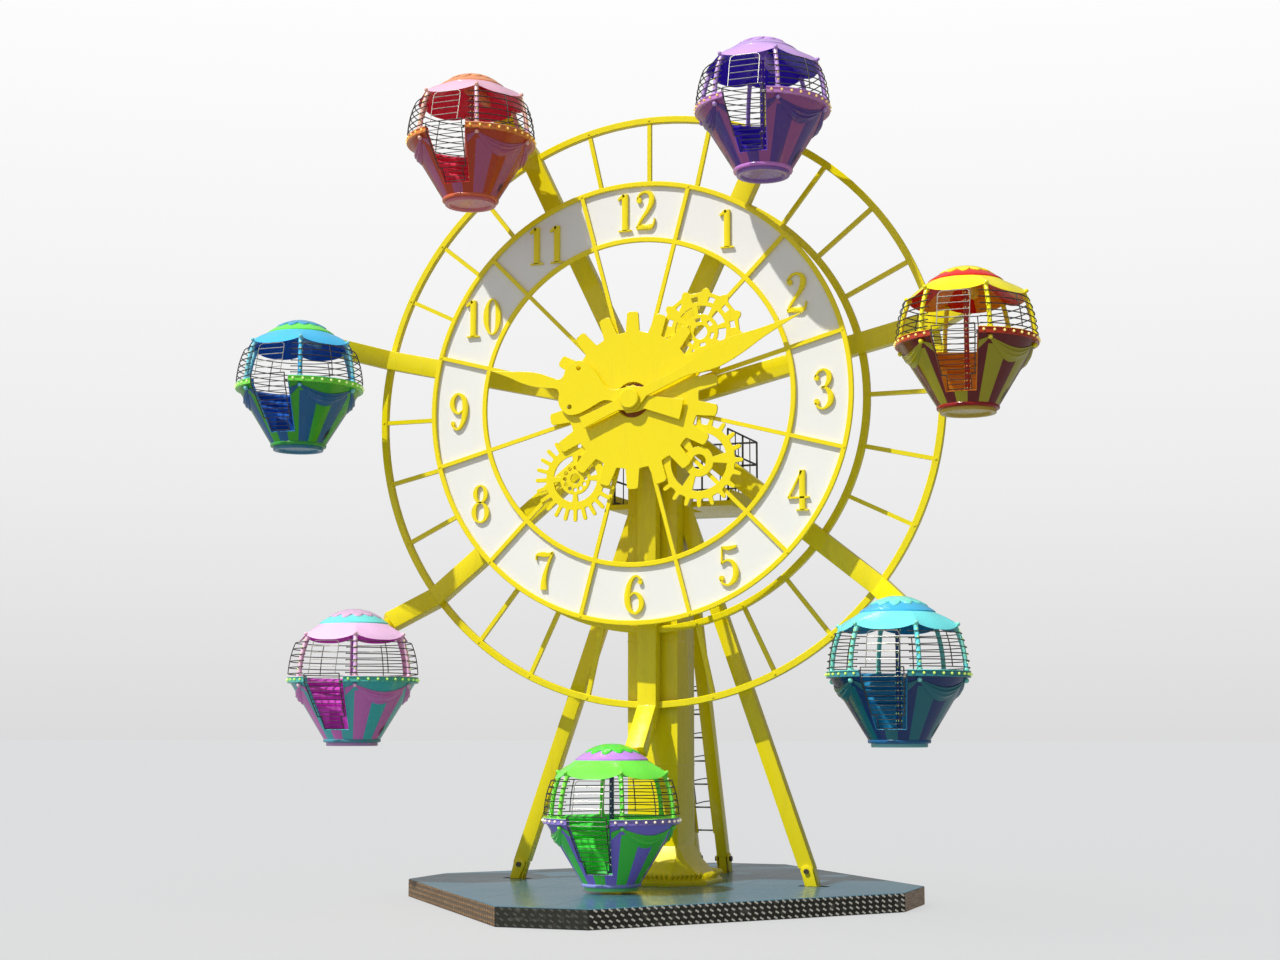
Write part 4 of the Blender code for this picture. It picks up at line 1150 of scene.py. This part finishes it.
def tubShape():
    s = cabinSettings
    shape = Shape()
    spin(shape, [(0, 0.035), (0.36, 0.035), (0.375, 0.006), (0.39, 0.0), (0.445, 0.0), (0.455, 0.008),
                 (0.455, 0.062), (0.44, 0.13), (0, 0.13)], "disc")
    spin(shape, [(0.45, 0.062), (0.48, 0.060), (0.500, 0.068), (0.508, 0.085), (0.508, 0.104),
                 (0.500, 0.120), (0.48, 0.128), (0.45, 0.126)], "ring")

    def lowRole(r, i):
        return stripe(5.0 * i + 2.5) if r == 1 else "floor" if r >= 3 else "disc"

    spin(shape, [(0, 0.12), (0.50, 0.12), (0.5976, 0.28), (0.56, 0.28), (0, 0.28)], lowRole)
    outer = [0.28, 0.42, 0.56, 0.70, 0.83, s["bandZ"], s["rimZ"]]
    inner = [s["rimZ"], 0.9, 0.7, 0.5, 0.28]
    profile = [(coneR(z), z) for z in outer] + [(wallR(z), z) for z in inner]

    def wallRole(r, i):
        if r < 5:
            angle = 25.0 + 5 * i + 2.5 if i else 25.0
            return stripe(angle if i < 61 else 335.0)
        return "stripeB" if r == 5 else "inside"

    openTurn(shape, profile, wallRole, "trim")
    b = s["beltR"]
    belt = [(1.05, 1.105), (b - 0.006, 1.105), (b, 1.112), (b, 1.126), (b - 0.014, 1.130),
            (b - 0.014, 1.188), (b, 1.192), (b, 1.205), (b - 0.006, s["beltTop"]), (1.042, s["beltTop"]),
            (1.035, 1.2), (1.035, 1.11)]
    openTurn(shape, belt, lambda r, i: "post" if r in (7, 8) else "inside" if r > 8 else "belt", "trim")
    swags(shape)
    bench(shape)
    post = [30 + 60 * k for k in range(6)]
    ballSpots = [about(a, coneR(1.055) + 0.03, 1.055) for a in post]
    shape.add(balls.grow(spots(ballSpots), None, Radius=0.042, Segments=14, Rings=8), "post")
    arc = [about(24 + 312.0 * i / 120, b + 0.002, 1.159) for i in range(121)]
    shape.add(pitched.grow(paths(arc), None, Radius=s["bulb"], Pitch=s["bulbPitch"]), "bulb")
    edge = []
    for side in (-1, 1):
        line = []
        for z in (1.10, 0.9, 0.7, 0.5, 0.285):
            x = doorHalf(z)
            line.append((side * x, -math.sqrt(coneR(z) ** 2 - x * x) - 0.004, z))
        edge.append(line)
    shape.add(rods.grow(paths(edge[0] + edge[1][::-1]), None, Radius=0.010, Sides=8), "trim")
    return shape


def swags(shape):
    # pleated valance hung between the posts under the belt
    for k in range(6):
        first = 30 + 60 * k
        spans = [(first, 60, 0.0, 1.0)] if k < 5 else [(first, 60, 0.0, 0.155), (first, 60, 0.845, 1.0)]
        for a0, width, s0, s1 in spans:
            rows = []
            steps = 20 if s1 - s0 > 0.5 else 5
            for i in range(steps + 1):
                t = s0 + (s1 - s0) * i / steps
                arch = math.sin(math.pi * t)
                top, low = 1.062 - 0.125 * arch, 1.050 - 0.325 * arch ** 0.85
                row = []
                for j in range(13):
                    u = j / 12
                    z = top + (low - top) * u
                    lift = 0.006 + arch * (0.045 * math.sin(math.pi * u) ** 0.7
                                           + 0.010 * math.cos(6 * math.pi * u))
                    row.append(about(a0 + width * t, coneR(z) + max(lift, 0.004), z))
                for j in range(12, -1, -6):
                    z = top + (low - top) * j / 12
                    row.append(about(a0 + width * t, coneR(z) - 0.01, z))
                rows.append(row)
            start = shape.grid(rows, "stripeA", closed=True, loop=False)
            count = len(rows[0])
            shape.cap([start + i for i in range(count)], "stripeA")
            shape.cap([start + steps * count + i for i in range(count)], "stripeA")


def bench(shape):
    # moulded ring seat and the rolled back above it
    seat = [(0.45, 0.275), (0.45, 0.62), (0.462, 0.655), (0.49, 0.678), (0.54, 0.688), (0.66, 0.690),
            (0.72, 0.70), (wallR(0.705) + 0.02, 0.705), (wallR(0.29) + 0.015, 0.29)]
    back = []
    for i in range(33):
        z = 0.70 + 0.50 * i / 32
        roll = abs(math.sin(math.pi * 4 * i / 32)) ** 0.7
        back.append((wallR(min(z, 1.10)) - 0.018 - 0.050 * roll, z))
    back += [(wallR(1.10) + 0.02, 1.20), (wallR(0.70) + 0.02, 0.70)]
    for profile, role in ((seat, "seat"), (back, "seat")):
        angles = [35 + 290.0 * i / 58 for i in range(59)]
        rows = [[about(a, r, z) for a in angles] for r, z in profile]
        start = shape.grid(rows, role, closed=False)
        for end in (0, 58):
            shape.cap([start + k * 59 + end for k in range(len(rows))], role)


def domeZ(r):
    table = [(0.0, 2.43), (0.14, 2.412), (0.27, 2.37), (0.40, 2.308), (0.50, 2.25), (0.62, 2.15),
             (0.80, 2.035), (0.98, 1.93)]
    for (r0, z0), (r1, z1) in zip(table, table[1:]):
        if r <= r1:
            return z0 + (z1 - z0) * (r - r0) / (r1 - r0)
    return table[-1][1]


def canopyShape():
    shape = Shape()
    count = 96

    def lip(angle):
        u = abs(2 * (((angle - 30) % 60) / 60) - 1)
        return 0.958 + 0.026 * u ** 2, 1.850 + 0.096 * u ** 2.6

    outer, inner = [], []
    angles = [360.0 * i / count for i in range(count)]
    for share in (0.0, 0.12, 0.35, 0.6, 0.85, 1.0):
        row = []
        for a in angles:
            r0, z0 = lip(a)
            r = r0 + (0.615 - r0) * share
            z = z0 + (2.152 - z0) * (share ** 0.86)
            row.append(about(a, r + 0.012 * math.sin(math.pi * share), z))
        outer.append(row)
    for r, z in ((0.612, 2.172), (0.585, 2.195), (0.54, 2.224), (0.48, 2.262), (0.40, 2.306),
                 (0.30, 2.352), (0.0, 2.40)):
        outer.append([about(a, r, z) for a in angles])
    for share in (1.0, 0.75, 0.4, 0.12, 0.0):
        row = []
        for a in angles:
            r0, z0 = lip(a)
            row.append(about(a, r0 - 0.016 + (0.30 - r0) * share, z0 - 0.001 + (2.27 - z0) * share ** 0.8))
        inner.append(row)
    inner = [[about(a, 0.0, 2.29) for a in angles]] + inner

    def role(r, i):
        if r < 5:
            return "skirt"
        if r < 12:
            return "roofBand"
        return "underA" if (i // 8) % 2 else "underB"

    shape.grid(outer + inner, role, closed=True, loop=True)
    # icing over the crown, running down in rounded drips
    cap = []
    fine = [2.5 * i for i in range(144)]
    edge = [0.375 + (0.10 + 0.03 * math.cos(math.radians(3 * a)))
            * (0.5 + 0.5 * math.cos(math.radians(12 * (a - 8)))) ** 0.55 for a in fine]
    for share, lift in ((1.0, -0.006), (1.008, 0.008), (0.985, 0.018), (0.94, 0.022), (0.85, 0.021),
                        (0.7, 0.018), (0.5, 0.015), (0.3, 0.010), (0.15, 0.005), (0.0, 0.0)):
        cap.append([about(a, e * share, min(domeZ(e * share) + lift, 2.43)) for a, e in zip(fine, edge)])
    shape.grid(cap, "cap", closed=True, loop=False)
    curve = [(1.10, 1.208), (1.092, 1.32), (1.080, 1.43), (1.062, 1.54), (1.036, 1.65), (1.005, 1.75),
             (0.968, 1.85), (0.925, 1.945)]
    lines, lampLines, ends, knobs = [], [], [], []
    for k in range(6):
        a = 30 + 60 * k
        lines.append([about(a, r, z) for r, z in curve])
        lampLines.append([about(a, r + 0.038, z) for r, z in curve[:-1]])
        ends += [about(a, 1.10, 1.222), about(a, 0.935, 1.925)]
        knobs.append(about(a, 0.986, 1.955))
    s = cabinSettings
    shape.add(rods.grow(paths(*lines), None, Radius=s["postR"], Sides=12), "post")
    shape.add(balls.grow(spots(ends), None, Radius=0.052, Segments=14, Rings=8), "post")
    shape.add(balls.grow(spots(knobs), None, Radius=0.034, Segments=12, Rings=7), "post")
    shape.add(pitched.grow(paths(*lampLines), None, Radius=s["postBulb"], Pitch=0.112), "bulb")
    pole = [(0, 0.281), (0.07, 0.281), (0.07, 0.30), (0.042, 0.33), (0.040, 2.20), (0.07, 2.27), (0, 2.30)]
    spin(shape, pole, "pole", 20)
    studs = [[about(a, 0.041, 0.42), about(a, 0.041, 2.12)] for a in (0, 90, 180, 270)]
    shape.add(pitched.grow(paths(*studs), None, Radius=0.010, Pitch=0.12), "stud")
    housing = [(0, -0.10), (0.10, -0.10), (0.118, -0.085), (0.118, 0.36), (0.128, 0.365), (0.128, 0.40),
               (0.118, 0.405), (0.118, 0.66), (0.126, 0.665), (0.126, 0.69), (0.115, 0.70),
               (0.072, 0.70), (0.072, 0.37), (0, 0.37)]
    rows = [[(x, y, z) for x, z in circlePoints(r, 32, (0, 2.158))] for r, y in housing]
    shape.grid(rows, "cap", loop=False)
    return shape


def railShape():
    # dark round hoops outside the posts, with round uprights
    shape = Shape()
    lines = []
    bend = [(1.10, 1.208), (1.080, 1.43), (1.036, 1.65), (0.925, 1.945)]
    levels = []
    for k in range(cabinSettings["hoops"]):
        z = 1.265 + 0.11 * k
        for (r0, z0), (r1, z1) in zip(bend, bend[1:]):
            if z0 <= z <= z1:
                levels.append((r0 + (r1 - r0) * (z - z0) / (z1 - z0) + 0.048, z))
    for r, z in levels:
        lines.append([about(22 + 316.0 * i / 72, r, z) for i in range(73)])
    for a in (60, 120, 180, 240, 300):
        lines.append([about(a, r + 0.006, z) for r, z in levels])
    shape.add(rods.grow(paths(*lines), None, Radius=0.0095, Sides=6), "rail")
    tips = [about(a, r, z) for r, z in levels for a in (22, 338)]
    shape.add(balls.grow(spots(tips), None, Radius=0.013, Segments=8, Rings=5), "rail")
    return shape


def gateShape():
    shape = Shape()

    def face(z):
        return -coneR(z) - 0.035 if z <= 1.10 else -1.145

    half = [(0.19, 0.30), (0.19, 0.50), (0.265, 0.515), (0.345, 1.10), (0.345, 1.25)]
    rim = [(x, face(z), z) for x, z in half]
    frameLine = rim[::-1] + [(-x, y, z) for x, y, z in rim]
    lines = [frameLine + [frameLine[0]]]
    for z in (0.37, 0.44, 0.515, 0.588, 0.661, 0.734, 0.807, 0.88, 0.953, 1.026, 1.10, 1.175):
        w = 0.19 if z < 0.5 else 0.265 + 0.08 * min(1.0, (z - 0.515) / 0.585)
        lines.append([(-w, face(z), z), (w, face(z), z)])

    def hoopY0(z):
        return -1.145 + 0.145 * (z - 1.25) / 0.58

    hoop = [(0.26, 1.25), (0.26, 1.74), (0.245, 1.80), (0.20, 1.828)]
    top = [(x, hoopY0(z), z) for x, z in hoop]
    lines.append(top + [(-x, y, z) for x, y, z in reversed(top)])
    for z in (1.375, 1.50, 1.62, 1.73):
        lines.append([(-0.26, hoopY0(z), z), (0.26, hoopY0(z), z)])
    bars = len(lines) - 5
    shape.add(rods.grow(paths(*lines[:1]), None, Radius=0.0105, Sides=8), "gate")
    shape.add(rods.grow(paths(*lines[1:bars]), None, Radius=0.0065, Sides=6), "gate")
    shape.add(rods.grow(paths(*lines[bars:]), None, Radius=0.0075, Sides=6), "gateHoop")
    hinge = [[(0.345, -1.145, z), (0.385, -1.145, z)] for z in (1.09, 1.115)]
    shape.add(rods.grow(paths(*hinge, [(0.385, -1.145, 1.078), (0.385, -1.145, 1.125)]), None,
                        Radius=0.017, Sides=8), "gate")
    return shape


def cabinPaints(name):
    c = cabinColours[name]
    paints = {role: lacquer(name + role[0].upper() + role[1:], c[role], 0.2, "#7a7266", 0.08) for role in
              ("stripeA", "stripeB", "skirt", "cap", "roofBand", "belt", "ring", "disc", "post", "pole",
               "inside", "trim")}
    paints["seat"] = lacquer(name + "Seat", c["inside"], 0.34, "#403a30", 0.12)
    paints["floor"] = lacquer(name + "Floor", c["disc"], 0.5, "#403a30", 0.4)
    paints["underA"] = paints["inside"]
    paints["underB"] = paints[c["under"]]
    paints["bulb"] = lamp(name + "Bulb", c["bulb"])
    paints["stud"] = paints["bulb"]
    return paints


gatePaint = steel("gateBar", "#3e3c38", 0.35)
gateHoopPaint = steel("gateHoop", "#8e8c84", 0.3)
tub, canopy, rails, gate = tubShape(), canopyShape(), railShape(), gateShape()
for name, (px, pz) in cabinPivots.items():
    paints = cabinPaints(name)
    paints["rail"], paints["gate"], paints["gateHoop"] = darkSteel, gatePaint, gateHoopPaint
    spot = Matrix.Translation((px, -2.43, pz - 2.158))
    for shape, label, body, node, slot in (
            (tub, "Tub", "cabin_", "tub", "cabin_" + name), (canopy, "Canopy", "cabin_", "canopy", "cabin_" + name),
            (rails, "Rails", "cabin_", None, "dark_steel"), (gate, "Gate", "gate_", "gate", "dark_steel")):
        mesh = shape.mesh(name + label, paints)
        mesh.transform(spot)
        piece(name + label, mesh, body + name, slot, ["cabin_%s_%s" % (name, node)] if node else ())
print("cabins done")


#finishes for the frame nodes that stay

for node, finish in {"axle": darkSteel}.items():
    mesh = frame["nodes"][node].data
    mesh.materials.clear()
    mesh.materials.append(finish)


# stage, light and camera

stageSettings = {"sunTravel": (0.6, 1.0, -1.6), "sunPower": 3.75, "sunAngle": 0.9, "ambient": 0.35,
                 "floorGlow": 0.63, "floorBounce": 0.45, "floorTone": "#eeeff0", "reach": 600.0,
                 "backdrop": [(0.0, 0.715), (0.13, 0.85), (0.36, 0.99), (1.0, 1.0)]}


def stage():
    s = stageSettings
    r = s["reach"]
    mesh = bpy.data.meshes.new("floor")
    mesh.from_pydata([(-r, -r, 0), (r, -r, 0), (r, r, 0), (-r, r, 0)], [], [(0, 1, 2, 3)])
    sheet = Finish("paleFloor", {"Roughness": 0.9, "Emission Strength": s["floorGlow"],
                                 "Specular IOR Level": 0.0})
    cloud = sheet.noise(0.08, 2.0)
    sheet.feed("Base Color", sheet.mix(0.02 * cloud, tone(s["floorTone"], 0.5), tone("#c0c2c6", 0.5)))
    # the floor lights the undersides less than it shows itself
    direct = sheet.add("ShaderNodeLightPath", out="Is Camera Ray")
    sheet.feed("Emission Color", sheet.mix(direct, tone(s["floorTone"], s["floorBounce"]),
                                           tone(s["floorTone"])))
    mesh.materials.append(sheet.material)
    floor = bpy.data.objects.new("floor", mesh)
    bpy.context.scene.collection.objects.link(floor)
    world = bpy.data.worlds.new("studio")
    bpy.context.scene.world = world
    world.use_nodes = True
    sky = NodeSheet(world.node_tree)
    back = world.node_tree.nodes["Background"]
    way = sky.add("ShaderNodeTexCoord", out="Generated")
    right, deep, high = (sky.add("ShaderNodeSeparateXYZ", {}, {0: way}, axis) for axis in "XYZ")
    seen = sky.add("ShaderNodeLightPath", out="Is Camera Ray")
    ramp = sky.add("ShaderNodeValToRGB", {"stops": s["backdrop"]}, {0: high})
    # softboxes: more light from the left, the front and above than from the right and behind
    soft = s["ambient"] - 0.22 * right - 0.12 * deep + 0.12 * high
    both = sky.add("ShaderNodeMix", {"data_type": "RGBA"}, {0: seen, 6: soft, 7: ramp}, 2)
    world.node_tree.links.new(both.socket, back.inputs["Color"])
    bpy.context.scene.view_settings.view_transform = "Standard"
    sun = bpy.data.lights.new("sun", "SUN")
    sun.energy, sun.angle = s["sunPower"], math.radians(s["sunAngle"])
    sun.color = (1.0, 0.985, 0.95)
    lampObject = bpy.data.objects.new("sun", sun)
    lampObject.rotation_euler = Vector(s["sunTravel"]).to_track_quat("-Z", "Y").to_euler()
    bpy.context.scene.collection.objects.link(lampObject)
    lit = bpy.data.collections.new("sunReceivers")
    lit.objects.link(floor)
    lampObject.light_linking.receiver_collection = lit
    lit.collection_objects[0].light_linking.link_state = "EXCLUDE"
    camera = bpy.data.cameras.new("camera")
    camera.sensor_fit, camera.sensor_width, camera.lens = "HORIZONTAL", 36.0, 55.125
    camera.clip_end = 2000.0
    eye = bpy.data.objects.new("camera", camera)
    eye.location = (11.976, -33.63, 2.984)
    eye.rotation_euler = Vector((-0.3422, 0.9310, 0.1276)).to_track_quat("-Z", "Y").to_euler()
    bpy.context.scene.collection.objects.link(eye)
    bpy.context.scene.camera = eye


stage()
print("stage done")
